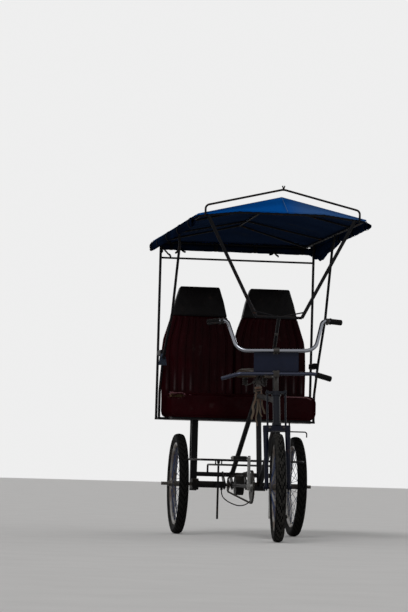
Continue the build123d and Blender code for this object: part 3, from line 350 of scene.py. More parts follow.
# dull on the ends, rubbed shiny on the flutes' crests low on the backs' fronts
fluteWidth = 0.0505
benchOut = benchVinyl.part("X").math("ABSOLUTE")
benchUp = benchVinyl.part("Z")
crest = (benchOut * (pi / fluteWidth)).math("SINE").math("POWER", 2.0).rise(0.80, 1.0)
forward = benchVinyl.facing("Y").fall(-0.6, -0.2)
rubbed = crest * benchUp.fall(0.88, 1.06) * benchUp.rise(0.884, 0.905) * forward
streaks = rubbed * benchVinyl.cloud(7, 2, vector=benchVinyl.placed((1, 1, 0.3))).rise(0.42, 0.60)
benchVinyl.set(spec=0.0, coat=benchOut.fall(0.430, 0.452) * (streaks * 0.62 + 0.05))
# painted highlight: pale pinkish vinyl for the tear's upper lips, there partly their real torn paleness, and
# for a lit stretch of the piping's top
lipHighlightVinyl = vinyl("lipHighlightVinyl", (0.100, 0.030, 0.042), (0.230, 0.120, 0.130), 0.30, 0.1, 0.2)
headVinyl = vinyl("headVinyl", (0.0052, 0.0046, 0.0050), (0.0090, 0.0080, 0.0085), 0.36, 0.2, 0.3)
saddleHide = vinyl("saddleHide", (0.0150, 0.0085, 0.0045), (0.0420, 0.0250, 0.0115), 0.34, 0.1, 0.9)
canopyCloth = cloth("canopyCloth", (0.0012, 0.088, 0.380), (0.008, 0.120, 0.450), 620, 0.5,
                    (0.050, 0.110, 0.240), 0.35, 0.0, 0.62, 0.6)
# painted shade: a darker copy of the canopy's blue cloth for the cover's inner face, standing in for the
# shade under the roof
canopyUnderShade = cloth("canopyUnderShade", (0.0080, 0.0160, 0.0400), (0.0140, 0.0280, 0.0620), 620, 0.5,
                     (0.024, 0.026, 0.032), 0.4, 0.0, 0.8)
curtainCloth = cloth("curtainCloth", (0.0034, 0.0062, 0.0150), (0.0060, 0.0200, 0.0620), 760, 0.7,
                     (0.010, 0.011, 0.016), 0.2, 0.0, 0.5)
ragCloth = cloth("ragCloth", (0.120, 0.088, 0.062), (0.230, 0.190, 0.150), 900, 0.6, (0.105, 0.022, 0.014),
                 0.8, 0.1, 0.85)
paleCloth = cloth("paleCloth", (0.045, 0.066, 0.105), (0.090, 0.120, 0.170), 900, 0.6,
                  (0.05, 0.05, 0.05), 0.4)
seamThread = cloth("seamThread", (0.060, 0.170, 0.400), (0.10, 0.22, 0.44), 1400, 0.5)
strapWeb = cloth("strapWeb", (0.0045, 0.0045, 0.0060), (0.012, 0.012, 0.014), 1600, 0.4)
signPaint = paint("signPaint", (0.0060, 0.0085, 0.0210), (0.035, 0.032, 0.032), 0.30, 0.35, 0.15, 0.2)
foamCrumb = cloth("foamCrumb", (0.070, 0.046, 0.024), (0.190, 0.130, 0.060), 300, 0.6,
                  (0.13, 0.075, 0.035), 0.5, 0.0, 0.95)
cableSheath = vinyl("cableSheath", (0.0070, 0.0070, 0.0080), (0.013, 0.013, 0.014), 0.42, 0.3, 0.1)
axleCable.data.materials.append(cableSheath.material)

# Every CAD piece that stays gets its finish
nodeFinishes = {
    framePaint: ["seat_tube", "top_tube", "down_tube", "spine_tube", "chain_stays", "bottom_bracket",
                 "bench_legs", "foot_deck", "deck_carriers", "drop_rod", "guard_rod", "bench_pan",
                 "rear_beam", "upright", "brake_lever"],
    canopyPaint: ["canopy_posts", "cross_bar", "canopy_rails", "canopy_ribs", "front_bow", "canopy_struts",
                  "strut_base", "arm_rests"],
    headPaint: ["head_tube", "yoke"],
    forkPaint: ["fork"],
    barChrome: ["riser_bar"],
    shadedFlatChrome: ["flat_bar"],
    crankSteel: ["cranks"],
    dullSteel: ["stem", "seat_post"],
    chainSteel: ["chain_ring", "rear_sprocket"],
    axleSteel: ["drive_axle"],
    greasePaint: ["brake_drum", "axle_housing"],
    signPaint: ["sign_board"],
}
for finish, names in nodeFinishes.items():
    for name in names:
        for holder in nodes[name].material_slots:
            holder.material = finish.material
print("finishes made")


def restTurn():
    lean = radians(steering["lean"])
    axis = Vector((0, sin(lean), cos(lean)))
    foot = Matrix.Translation(steering["foot"])
    return foot @ Matrix.Rotation(radians(steering["turn"]), 4, axis) @ foot.inverted()


def turnWithBars(mesh):
    bmesh.ops.transform(mesh, matrix=restTurn(), verts=mesh.verts)


# Shapes
def newPiece(name, mesh, finishes, replaced=(), crease=40, body="frame"):
    data = bpy.data.meshes.new(name)
    mesh.to_mesh(data)
    mesh.free()
    for finish in finishes:
        data.materials.append(finish.material)
    data.shade_smooth()
    if crease:
        data.set_sharp_from_angle(angle=radians(crease))
    piece = linked(name, data)
    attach(piece, body)
    if replaced:
        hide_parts(*replaced)
    return piece


def thicken(piece, thickness, side=-1, inside=0):
    # side -1 grows the wall inwards and 1 outwards; inside is the step to the inner wall's finish
    wall = piece.modifiers.new("wall", "SOLIDIFY")
    wall.thickness = thickness
    wall.offset = side
    wall.material_offset = inside


def faceOut(mesh):
    bmesh.ops.recalc_face_normals(mesh, faces=mesh.faces)


def edgesOf(verts):
    # each edge once, in the same order each run
    return list(dict.fromkeys(edge for vert in verts for edge in vert.link_edges))


def drawOut(mesh, edges):
    # extrudes the edges where they are, and gives the new points and the new edges between them
    grown = bmesh.ops.extrude_edge_only(mesh, edges=edges)["geom"]
    points = [item for item in grown if isinstance(item, bmesh.types.BMVert)]
    kept = set(points)
    return points, [item for item in grown if isinstance(item, bmesh.types.BMEdge)
                    and item.verts[0] in kept and item.verts[1] in kept]


def waver(x, y, z):
    return noise.noise(Vector((x, y, z)))


def shares(count):
    return [step / count for step in range(count + 1)]


def mirrored(half):
    # an (x, radius) outline and its reflection
    return half + [(-x, radius) for x, radius in reversed(half)]


def between(start, end):
    run = Vector(end) - Vector(start)
    turn = run.to_track_quat("Z", "Y").to_matrix().to_4x4()
    return Matrix.Translation((Vector(start) + Vector(end)) / 2) @ turn


def addRod(mesh, start, end, radius, sides, material=0):
    length = (Vector(end) - Vector(start)).length
    verts = bmesh.ops.create_cone(mesh, cap_ends=True, segments=sides, radius1=radius, radius2=radius,
                                  depth=length, matrix=between(start, end))["verts"]
    for vert in verts:
        for face in vert.link_faces:
            face.material_index = material


def addPin(mesh, middle, reach, radius, sides):
    # a rod that reaches as far to both sides of its middle
    middle, reach = Vector(middle), Vector(reach)
    addRod(mesh, middle - reach, middle + reach, radius, sides)


def addBlock(mesh, middle, size, round, turn=None, segments=2):
    place = Matrix.Translation(middle) @ (turn or Matrix.Identity(4)) @ Matrix.Diagonal((*size, 1))
    verts = bmesh.ops.create_cube(mesh, size=1, matrix=place)["verts"]
    bmesh.ops.bevel(mesh, geom=edgesOf(verts), offset=round, affect="EDGES", segments=segments, profile=0.5,
                    material=-1)


def addTube(mesh, points, radius, sides, flat=1.0):
    # a tube pulled through the points ring by ring; radius may change along it
    points = [Vector(point) for point in points]
    radii = radius if isinstance(radius, list) else [radius] * len(points)
    headings = []
    for index in range(len(points)):
        before = points[max(index - 1, 0)]
        after = points[min(index + 1, len(points) - 1)]
        headings.append((after - before).normalized())
    turn = headings[0].to_track_quat("Z", "X")
    for index, (point, heading, reach) in enumerate(zip(points, headings, radii)):
        if index:
            turn = headings[index - 1].rotation_difference(heading) @ turn
        shape = Matrix.Diagonal((reach * flat, reach, 1, 1))
        following = Matrix.Translation(point) @ turn.to_matrix().to_4x4() @ shape
        if index:
            ring, edges = drawOut(mesh, edges)
            bmesh.ops.transform(mesh, matrix=following @ place.inverted(), verts=ring)
        else:
            ring = bmesh.ops.create_circle(mesh, cap_ends=False, segments=sides, radius=1,
                                           matrix=following)["verts"]
            edges = edgesOf(ring)
            bmesh.ops.contextual_create(mesh, geom=edges)
        place = following
    bmesh.ops.contextual_create(mesh, geom=edges)


def smooth(value):
    value = max(0.0, min(1.0, value))
    return value * value * (3 - 2 * value)


def lerp(start, end, share):
    return start + (end - start) * share


def alongRows(rows, value, column, ease=smooth):
    # the reading of a table whose first column rises, eased or straight between its rows
    for row, following in zip(rows, rows[1:]):
        if value <= following[0]:
            share = ease((value - row[0]) / (following[0] - row[0]))
            return lerp(row[column], following[column], share)
    return rows[-1][column]


def cubeGrid(cuts):
    # a cube of half size 1 with that many cuts along each axis
    mesh = bmesh.new()
    bmesh.ops.create_cube(mesh, size=2)
    for axis, count in enumerate(cuts):
        edges = [edge for edge in mesh.edges
                 if abs(edge.verts[0].co[axis] - edge.verts[1].co[axis]) > 1.5]
        bmesh.ops.subdivide_edges(mesh, edges=edges, cuts=count, use_grid_fill=True)
    return mesh


def roundBox(mesh, half, radius):
    # blows the grid up to a box with rounded edges, points gathered near the edges
    inner = Vector(half) - Vector((radius, radius, radius))
    for vert in mesh.verts:
        spread = Vector([(1.5 * part - 0.5 * part**3) * size for part, size in zip(vert.co, half)])
        core = Vector([max(-limit, min(limit, part)) for part, limit in zip(spread, inner)])
        away = spread - core
        if away.length > 0:
            vert.co = core + away.normalized() * radius
        else:
            vert.co = spread


# Padded backs and head rests, leaning with the backs' frame
backLean = {"angle": 5.5, "footY": 0.9013, "footZ": 0.7203}
pads = {
    "Back": {
        "replaced": "seat_back_", "finish": benchVinyl, "slot": "bench_vinyl",
        "thickness": 0.084, "cuts": (100, 8, 70), "edge": 0.028, "crown": 0.006,
        "wave": 0.0035, "crease": 0.0013,
        "channels": 9, "channelDepth": 0.017, "ridgePower": 0.55, "seamBorder": 0.034,
        # above this height the back is thinner and tucks in under the head rest
        "tuckHeight": 0.636, "tuckRun": 0.012, "tuckShare": 0.70,
        # height above the cushion's foot, inner edge, outer edge
        "rows": [(0.004, 0.0003, 0.452), (0.30, 0.0003, 0.458), (0.432, 0.0003, 0.456), (0.50, 0.0015, 0.448),
                 (0.575, 0.022, 0.424), (0.640, 0.046, 0.404), (0.668, 0.066, 0.384)],
    },
    "HeadRest": {
        "replaced": "head_rest_", "finish": headVinyl, "slot": "head_vinyl",
        "thickness": 0.074, "cuts": (44, 8, 30), "edge": 0.011, "crown": 0.006,
        "wave": 0.0035, "crease": 0.0013, "channels": 0,
        "rows": [(0.641, 0.048, 0.403), (0.74, 0.070, 0.378), (0.833, 0.099, 0.349)],
    },
}


def leant(x, depth, height):
    angle = radians(backLean["angle"])
    y = backLean["footY"] + depth * cos(angle) + height * sin(angle)
    z = backLean["footZ"] + height * cos(angle) - depth * sin(angle)
    return Vector((x, y, z))


def makePad(name, side, replaced, settings):
    rows = settings["rows"]
    low = rows[0][0]
    high = rows[-1][0]
    widest = max(row[2] - row[1] for row in rows) / 2
    mesh = cubeGrid(settings["cuts"])
    half = (widest, settings["thickness"] / 2, (high - low) / 2)
    roundBox(mesh, half, settings["edge"])
    for vert in mesh.verts:
        across = vert.co.x / half[0]
        height = vert.co.z + (low + high) / 2
        inner = alongRows(rows, height, 1, float)
        outer = alongRows(rows, height, 2, float)
        x = (inner + outer) / 2 + across * (outer - inner) / 2
        border = min(half[0] * (1 - abs(across)), high - height, height - low)
        facing = smooth(-vert.co.y / (half[1] * 0.6))
        crown = (1 - across**4) * (1 - (vert.co.z / half[2])**4)
        depth = vert.co.y - facing * crown * settings["crown"]
        if settings["channels"]:
            turn = (across * 0.5 + 0.5) * settings["channels"]
            ridge = 1 - abs(sin(turn * pi)) ** settings["ridgePower"]
            inside = smooth((border - settings["seamBorder"] * 0.4) / settings["seamBorder"])
            depth += facing * inside * ridge * settings["channelDepth"]
            tucked = smooth((height - settings["tuckHeight"]) / settings["tuckRun"])
            depth *= lerp(1, settings["tuckShare"], tucked)
        wave = waver(x * 9, height * 5, side * 3) * settings["wave"]
        crease = waver(x * 40, height * 16, side * 7) * settings["crease"]
        depth += (wave + crease) * (1 if vert.co.y < 0 else -0.5)
        vert.co = leant(x * side, depth, height)
    faceOut(mesh)
    piece = newPiece(name, mesh, [settings["finish"]], [replaced], crease=0)


for sideName, side in (("left", 1), ("right", -1)):
    for kind, settings in pads.items():
        makePad(sideName + kind, side, settings["replaced"] + sideName, settings)

# Bench cushion: one boxed pad with a torn upper corner
cushion = {
    "half": (0.466, 0.158, 0.0745),
    "middle": (0.0, 0.698, 0.7945),
    "edge": 0.020,
    "corner": 0.045,
    "crown": 0.008,
    "tearMiddle": (-0.408, 0.546, 0.853),
    "tearSize": (0.058, 0.040, 0.012),
    "tearDepth": 0.020,
    "lip": 0.011,
    "cuts": (150, 44, 22),
    # the two pressed seats: how far out and back, their reach and depth
    "seatX": 0.225, "seatY": 0.02, "seatReach": (0.13, 0.10), "seatDepth": 0.011,
    "slack": 0.006, "frontRipple": 0.004, "topRipple": 0.0025, "fineRipple": 0.0012, "foamRough": 0.003,
}


def makeCushion(settings):
    half = settings["half"]
    mesh = cubeGrid(settings["cuts"])
    roundBox(mesh, half, settings["edge"])
    middle = Vector(settings["middle"])
    tear = Vector(settings["tearMiddle"])
    reachX, reachY = settings["seatReach"]
    torn = mesh.verts.layers.float.new("torn")
    for vert in mesh.verts:
        x, y, z = vert.co
        # the ends' corners have a larger radius, seen from the front
        over = Vector((max(0, abs(x) - half[0] + settings["corner"]),
                       max(0, abs(z) - half[2] + settings["corner"])))
        if over.x > 0 and over.y > 0:
            pull = 1 - max(over) / over.length
            x -= copysign(over.x * pull, x)
            z -= copysign(over.y * pull, z)
        top = smooth(z / half[2])
        swell = (1 - (x / half[0])**6) * (1 - (y / half[1])**4)
        z += top * swell * settings["crown"]
        # two seats pressed into the top, and slack ripples along the front
        for seat in (-settings["seatX"], settings["seatX"]):
            sunk = exp(-((x - seat) / reachX)**2 - ((y - settings["seatY"]) / reachY)**2)
            z -= top * sunk * settings["seatDepth"]
        front = smooth(-y / half[1] * 2 - 1)
        y -= front * settings["slack"] * (1 - (z / half[2])**2) * (1 - (x / half[0])**6)
        ripple = waver(x * 13, y * 9, z * 22)
        fine = waver(x * 44, y * 30, z * 40 + 5) * settings["fineRipple"]
        y -= front * (ripple * settings["frontRipple"] + fine)
        z += top * (ripple * settings["topRipple"] + fine)
        vert.co = middle + Vector((x, y, z))
        away = Vector([(part - centre) / size for part, centre, size
                       in zip(vert.co, tear, settings["tearSize"])])
        ragged = away.length + noise.noise(vert.co * 38) * 0.45 + noise.noise(vert.co * 95) * 0.25
        vert[torn] = ragged
    faceOut(mesh)
    mesh.normal_update()
    for vert in mesh.verts:
        ragged = vert[torn]
        if ragged < 1:
            rough = noise.noise(vert.co * 160) * settings["foamRough"]
            vert.co -= vert.normal * (settings["tearDepth"] * smooth((1 - ragged) * 3) + rough)
        elif ragged < 1.5:
            vert.co += vert.normal * settings["lip"] * smooth((1.5 - ragged) * 2) * 0.8
    # the tear's inside takes the foam; painted highlight: its upper lips take the pale lip vinyl, partly the
    # torn edge's real paleness
    for face in mesh.faces:
        if all(vert[torn] < 1.02 for vert in face.verts):
            face.material_index = 1
        elif all(vert[torn] < 1.35 and vert.co.z > tear.z for vert in face.verts):
            face.material_index = 2
    piece = newPiece("benchSeat", mesh, [benchVinyl, foamCrumb, lipHighlightVinyl],
                     ["bench_cushion"], crease=0)


makeCushion(cushion)

# Piping along the cushion's top and bottom front edges
piping = {"radius": 0.0042, "inset": 0.002, "drop": 0.006, "sag": 0.0018, "highlightFrom": 0.255}


def makePiping(settings):
    mesh = bmesh.new()
    half = cushion["half"]
    middle = Vector(cushion["middle"])
    for level in (1, -1):
        points = []
        for part in shares(60):
            share = part * 2 - 1
            x = share * (half[0] - cushion["corner"] * 0.72)
            drop = settings["drop"] + cushion["corner"] * 0.30 * smooth((abs(share) - 0.93) / 0.07)
            sag = waver(share * 6, level, 0) * settings["sag"]
            points.append(middle + Vector((x, settings["inset"] - half[1], level * (half[2] - drop) + sag)))
        addTube(mesh, points, settings["radius"], 8)
    # painted highlight: the top edge at the rider's left end is made paler, standing in for light along it
    for face in mesh.faces:
        middle = face.calc_center_median()
        if middle.x > settings["highlightFrom"] and middle.z > cushion["middle"][2]:
            face.material_index = 1
    newPiece("cushionPiping", mesh, [benchVinyl, lipHighlightVinyl], crease=0)


makePiping(piping)
print("bench made")

# Saddle: a sprung leather top, its rails, springs and clamp
saddleSet = {
    "low": 0.954, "high": 1.020, "noseHalf": 0.028, "rearHalf": 0.110, "y": -0.012, "half": 0.134,
    "railRadius": 0.0035, "springRadius": 0.015, "springWire": 0.0028, "springX": 0.058,
    "springTop": 0.957, "springFoot": 0.915, "clampY": -0.058, "clampZ": 0.932,
    "cuts": (26, 40, 8), "edge": 0.022, "sideFall": 0.014, "dip": 0.006, "hollow": 0.016, "grain": 0.0012,
    "springTurns": 4,
}


def makeSaddle(settings):
    mesh = cubeGrid(settings["cuts"])
    tall = settings["high"] - settings["low"]
    half = (settings["rearHalf"], settings["half"], tall / 2)
    roundBox(mesh, half, settings["edge"])
    for vert in mesh.verts:
        along = vert.co.y / half[1] * 0.5 + 0.5
        across = vert.co.x / half[0]
        widening = smooth((along - 0.22) / 0.62)
        width = lerp(settings["noseHalf"], settings["rearHalf"], widening)
        width *= 1 - 0.10 * smooth((along - 0.9) / 0.1)
        x = across * width
        top = smooth(vert.co.z / half[2] * 0.5 + 0.5)
        share = lerp(0.62, 1.0, smooth(along / 0.9)) + 0.10 * (1 - smooth(along / 0.2))
        z = settings["low"] + (vert.co.z / half[2] * 0.5 + 0.5) * tall * share
        z -= top * abs(across)**2.5 * settings["sideFall"]
        z -= top * settings["dip"] * exp(-((along - 0.55) / 0.2)**2)
        z += (1 - top) * settings["hollow"] * (1 - across**2)
        z += waver(x * 40, along * 9, 2) * settings["grain"]
        vert.co = Vector((x, settings["y"] + vert.co.y, min(z, settings["high"])))
    faceOut(mesh)
    newPiece("saddleTop", mesh, [saddleHide], ["saddle"], crease=0)
    mesh = bmesh.new()
    springY = settings["y"] + settings["half"] - 0.050
    foot, top, wide = settings["springFoot"], settings["springTop"], settings["springRadius"]
    clampY, clampZ = settings["clampY"], settings["clampZ"]
    for side in (-1, 1):
        x = side * settings["springX"]
        coil = []
        for share in shares(60):
            angle = share * settings["springTurns"] * 2 * pi
            coil.append((x + wide * cos(angle), springY + wide * sin(angle), lerp(foot, top, share)))
        addTube(mesh, coil, settings["springWire"], 6)
        addRod(mesh, (x, springY, top - 0.003), (x, springY, top + 0.008), wide, 16)
        rail = [(x, springY, foot - 0.002), (side * 0.040, springY - 0.040, foot + 0.004),
                (side * 0.022, clampY + 0.03, clampZ), (side * 0.022, clampY - 0.02, clampZ),
                (side * 0.016, settings["y"] - 0.090, settings["low"] + 0.006),
                (side * 0.010, settings["y"] - 0.118, settings["low"] + 0.014)]
        addTube(mesh, rail, settings["railRadius"], 8)
    addPin(mesh, (0, clampY, clampZ), (0.031, 0, 0), 0.0105, 6)
    addBlock(mesh, (0, clampY, clampZ), (0.034, 0.036, 0.030), 0.004)
    newPiece("saddleSprings", mesh, [dullSteel])


makeSaddle(saddleSet)

# Canopy: one stretched cover with a bound hem, laid over the ridge and the ribs
roof = {
    "frontHalf": 0.492, "rearHalf": 0.500, "frontY": -0.774, "rearY": 1.171,
    "eaveFront": 1.866, "eaveRear": 1.850, "apexY": -0.734, "apexZ": 1.983,
    "ridgeEndY": 0.821, "ridgeEndZ": 1.948,
    "ribs": [-0.760, -0.379, 0.541, 1.157],
    "hemRise": 0.030, "hemFlat": 0.250, "seamFoot": 0.033,
    "thickness": 0.0016, "sag": 0.007, "hemRadius": 0.0050, "seamRadius": 0.0022, "cut": (1.03, 1.95),
    "cuts": 47, "pucker": 0.0026, "puckerReach": 0.16, "ripple": 0.0022,
    "gableSlack": 0.006, "gableRipple": 0.004, "seamPull": 0.004, "seamReach": 0.012,
    "hemDrop": 0.0022, "scallop": 0.0016, "hemInset": 0.0045,
}


def hemLift(settings, x):
    # how far the arched front hem stands above the front corners
    run = settings["frontHalf"] - settings["hemFlat"]
    return settings["hemRise"] * max(0, min(1, (settings["frontHalf"] - abs(x)) / run))


def hemPlace(settings, x):
    lift = hemLift(settings, x)
    lean = (settings["apexY"] - settings["frontY"]) / (settings["apexZ"] - settings["eaveFront"])
    return Vector((x, settings["frontY"] + lift * lean, settings["eaveFront"] + lift))


def roofCorners(settings):
    places = {"apex": Vector((0, settings["apexY"], settings["apexZ"])),
              "ridgeEnd": Vector((0, settings["ridgeEndY"], settings["ridgeEndZ"]))}
    for name, side in (("Left", 1), ("Right", -1)):
        places["hem" + name] = hemPlace(settings, side * settings["hemFlat"])
        for end in ("front", "rear"):
            eave = settings["eave" + end.title()]
            places[end + name] = Vector((side * settings[end + "Half"], settings[end + "Y"], eave))
    return places


roofFaces = [
    ("frontLeft", "apex", "hemLeft"), ("hemLeft", "apex", "hemRight"),
    ("hemRight", "apex", "frontRight"), ("frontLeft", "rearLeft", "apex"),
    ("rearLeft", "ridgeEnd", "apex"), ("frontRight", "apex", "rearRight"),
    ("apex", "ridgeEnd", "rearRight"), ("rearLeft", "rearRight", "ridgeEnd"),
]


def ribSlack(settings, y):
    # 0 over a rib, 1 midway between two
    ribs = settings["ribs"]
    for rib, following in zip(ribs, ribs[1:]):
        if rib <= y <= following:
            return sin(pi * (y - rib) / (following - rib)) ** 2
    return 0.0


def makeCanopy(settings):
    mesh = bmesh.new()
    corners = {name: mesh.verts.new(place) for name, place in roofCorners(settings).items()}
    for face in roofFaces:
        mesh.faces.new([corners[name] for name in face])
    faceOut(mesh)
    bmesh.ops.subdivide_edges(mesh, edges=mesh.edges, cuts=settings["cuts"], use_grid_fill=True)
    for vert in mesh.verts:
        x, y, z = vert.co
        half = lerp(settings["frontHalf"], settings["rearHalf"],
                    (y - settings["frontY"]) / (settings["rearY"] - settings["frontY"]))
        across = abs(x) / half
        gable = smooth((settings["apexY"] + 0.006 - y) / 0.01)
        slack = ribSlack(settings, y) * sin(pi * min(1, max(0, across))) * (1 - gable)
        z -= slack * settings["sag"]
        # puckers that run in from the corners and from the ribs
        for cornerX in (-settings["frontHalf"], settings["frontHalf"]):
            for cornerY in (settings["frontY"], settings["rearY"]):
                away = Vector((x - cornerX, y - cornerY))
                angle = atan2(away.y, away.x)
                near = exp(-away.length / settings["puckerReach"]) * smooth(away.length / 0.05)
                z += sin(angle * 22) * near * settings["pucker"] * (1 - gable)
        ripple = waver(x * 4, y * 14, 1) * sin(pi * min(1, across))
        z += ripple * settings["ripple"] * (1 - gable)
        if gable > 0:
            low = settings["eaveFront"] + hemLift(settings, x)
            top = lerp(settings["apexZ"], settings["eaveFront"], min(1, across))
            height = (z - low) / max(0.004, top - low)
            inside = sin(pi * min(1, max(0, height)))
            billow = waver(x * 7, z * 9, 4) * settings["gableRipple"]
            pull = exp(-(x / settings["seamReach"])**2) * settings["seamPull"]
            y += gable * inside * (settings["gableSlack"] + billow - pull)
        vert.co = (x, y, z)
    piece = newPiece("canopySheet", mesh, [canopyCloth, canopyUnderShade],
                     ["canopy_cover"], crease=30)
    # painted shade: the cover's inner wall takes the darker under-roof copy of its cloth
    thicken(piece, settings["thickness"], inside=1)
    # binding round the hem, and a sewn seam down the gable and the ridge
    mesh = bmesh.new()
    places = roofCorners(settings)
    rim = ["frontLeft", "hemLeft", "hemRight", "frontRight", "rearRight", "rearLeft", "frontLeft"]
    for start, end in zip(rim, rim[1:]):
        points = []
        for share in shares(48):
            point = places[start].lerp(places[end], share)
            point.z -= settings["hemDrop"] + settings["scallop"] * sin(share * pi * 9) ** 2
            outward = Vector((point.x, point.y - 0.2, 0)).normalized()
            points.append(point - outward * settings["hemInset"])
        addTube(mesh, points, settings["hemRadius"], 8, flat=0.6)
    hem = newPiece("canopyHem", mesh, [canopyCloth], crease=0)
    mesh = bmesh.new()
    gableFoot = hemPlace(settings, settings["seamFoot"]) - Vector((0, 0.001, 0))
    for start, end in ((gableFoot, places["apex"]), (places["apex"], places["ridgeEnd"]),
                       (places["apex"], places["frontLeft"]), (places["apex"], places["frontRight"]),
                       (places["ridgeEnd"], places["rearLeft"]), (places["ridgeEnd"], places["rearRight"])):
        points = [start.lerp(end, share) + upward * 0.0002 for share in shares(24)]
        addTube(mesh, points, settings["seamRadius"], 6)
    seams = newPiece("canopySeams", mesh, [seamThread], crease=0)


makeCanopy(roof)
print("canopy made")

# Rolled curtains: each a spiral sheet, tied up with straps
rolls = {
    "turns": 2.4, "perTurn": 26, "innerShare": 0.42, "thickness": 0.0012, "steps": 150,
    "strapWidth": 0.020, "strapThickness": 0.0016,
    "tieReach": 0.016, "tiePinch": 0.20, "strapShare": 0.90,
    # the neck: where it starts, its ripple, how far below the eave it starts and ends
    "neckX": 0.4985, "neckRipple": 0.0022, "neckTop": 0.003, "neckFoot": 0.022,
}


def makeNeck(name, side):
    # the curtain's own cloth, from the eave down to its roll
    mesh = bmesh.new()
    bmesh.ops.create_grid(mesh, x_segments=3, y_segments=rolls["steps"], size=0.5)
    for vert in mesh.verts:
        down, share = vert.co.x + 0.5, vert.co.y + 0.5
        ripple = waver(share * 46, side * 3, down) * rolls["neckRipple"]
        x = lerp(rolls["neckX"], sideRoll["x"] + 0.004, smooth(down)) + ripple
        y = lerp(sideRoll["frontY"], sideRoll["rearY"], share)
        vert.co = Vector((side * x, y, eaveZ(share) - lerp(rolls["neckTop"], rolls["neckFoot"], down)))
    piece = newPiece(name, mesh, [curtainCloth], crease=0)
    thicken(piece, rolls["thickness"])
    return piece


def makeRoll(name, centre, across, sizes, replaced, folds, ties, neck=None):
    # centre(share) is the middle, sizes(share) the half width and half height there
    settings = rolls
    mesh = bmesh.new()
    around = int(settings["turns"] * settings["perTurn"])
    seed = mesh.verts.new((settings["innerShare"], 0, 0))
    bmesh.ops.spin(mesh, geom=[seed], cent=(0, 0, 0), axis=(0, 1, 0), dvec=(0, 0, 0),
                   angle=2 * pi * settings["turns"], steps=around, use_merge=False)
    mesh.verts.ensure_lookup_table()
    length = 0.0
    halfWide, halfTall = sizes(0.5)
    for index, vert in enumerate(mesh.verts):
        reach = lerp(settings["innerShare"], 1.0, (index / around) ** 0.8)
        vert.co = vert.co.normalized() * reach
        if index:
            step = vert.co - mesh.verts[index - 1].co
            length += Vector((step.x * halfWide, step.z * halfTall)).length
    edges = list(mesh.edges)
    for step in range(settings["steps"]):
        moved, edges = drawOut(mesh, edges)
        bmesh.ops.translate(mesh, vec=(0, 1 / settings["steps"], 0), verts=moved)
    for vert in mesh.verts:
        wide, share, tall = vert.co
        reach = hypot(wide, tall)
        angle = atan2(tall, wide)
        halfWide, halfTall = sizes(share)
        pinch = sum(exp(-((share - tie) / settings["tieReach"])**2) for tie in ties)
        swell = 1 - settings["tiePinch"] * min(1, pinch)
        crease = waver(share * 7, cos(angle) * 2.6, sin(angle) * 2.6 + 9)
        gather = waver(share * 34, cos(angle) * 1.4, sin(angle) * 1.4)
        swell *= 1 - folds * (0.5 + 0.5 * abs(crease)) * 0.6 + folds * crease * 0.7 + folds * gather * 0.35
        swell = min(swell, 1.0)
        vert.co = centre(share) + across * wide * swell * halfWide + upward * tall * swell * halfTall
    faceOut(mesh)
    piece = newPiece(name, mesh, [curtainCloth], replaced, crease=0)
    thicken(piece, settings["thickness"])
    run = (centre(1) - centre(0)).normalized()
    shape = Matrix((across, run, upward)).transposed().to_4x4() @ Matrix.Rotation(-pi / 2, 4, "X")
    mesh = bmesh.new()
    for tie in ties:
        size = Matrix.Diagonal([half * settings["strapShare"] for half in sizes(tie)] + [1, 1])
        place = Matrix.Translation(centre(tie) - run * settings["strapWidth"] / 2) @ shape @ size
        ring = bmesh.ops.create_circle(mesh, cap_ends=False, segments=28, radius=1, matrix=place)["verts"]
        moved = drawOut(mesh, edgesOf(ring))[0]
        bmesh.ops.translate(mesh, vec=run * settings["strapWidth"], verts=moved)
    faceOut(mesh)
    straps = newPiece(name + "Straps", mesh, [strapWeb])
    thicken(straps, settings["strapThickness"], side=1)


rearRoll = {"half": 0.486, "y": 0.9233, "z": 1.797, "radius": 0.0232, "folds": 0.10,
            "ties": [0.07, 0.36, 0.62, 0.93]}
sideRoll = {
    "x": 0.5153, "frontY": -0.742, "rearY": 1.139, "halfWide": 0.0185, "top": 0.011,
    # from front to rear, how far below the eave the roll ends
    "right": {"side": -1, "folds": 0.14, "ties": [0.045, 0.30, 0.56, 0.80, 0.955],
              "hem": [(0.0, 0.073), (1.0, 0.073)]},
    "left": {"side": 1, "folds": 0.30, "ties": [0.04, 0.24, 0.47, 0.965],
             "hem": [(0.0, 0.051), (0.435, 0.057), (0.64, 0.091), (0.80, 0.130), (0.895, 0.103),
                     (1.0, 0.069)]},
}


def eaveZ(share):
    y = lerp(sideRoll["frontY"], sideRoll["rearY"], share)
    return lerp(roof["eaveFront"], roof["eaveRear"], (y - roof["frontY"]) / (roof["rearY"] - roof["frontY"]))


def makeSideRoll(sideName, settings):
    side = settings["side"]

    def centre(share):
        middle = eaveZ(share) - (sideRoll["top"] + alongRows(settings["hem"], share, 1)) / 2
        return Vector((side * sideRoll["x"], lerp(sideRoll["frontY"], sideRoll["rearY"], share), middle))

    def sizes(share):
        return sideRoll["halfWide"], (alongRows(settings["hem"], share, 1) - sideRoll["top"]) / 2

    makeRoll(sideName + "Curtain", centre, Vector((1, 0, 0)), sizes, ["curtain_" + sideName],
             settings["folds"], settings["ties"],
             makeNeck(sideName + "Neck", side))


def makeRearRoll(settings):
    half, radius = settings["half"], settings["radius"]
    makeRoll("rearCurtain", lambda share: Vector((lerp(-half, half, share), settings["y"], settings["z"])),
             Vector((0, 1, 0)), lambda share: (radius, radius), ["curtain_rear"], settings["folds"],
             settings["ties"])


makeRearRoll(rearRoll)
for sideName in ("right", "left"):
    makeSideRoll(sideName, sideRoll[sideName])
print("curtains made")

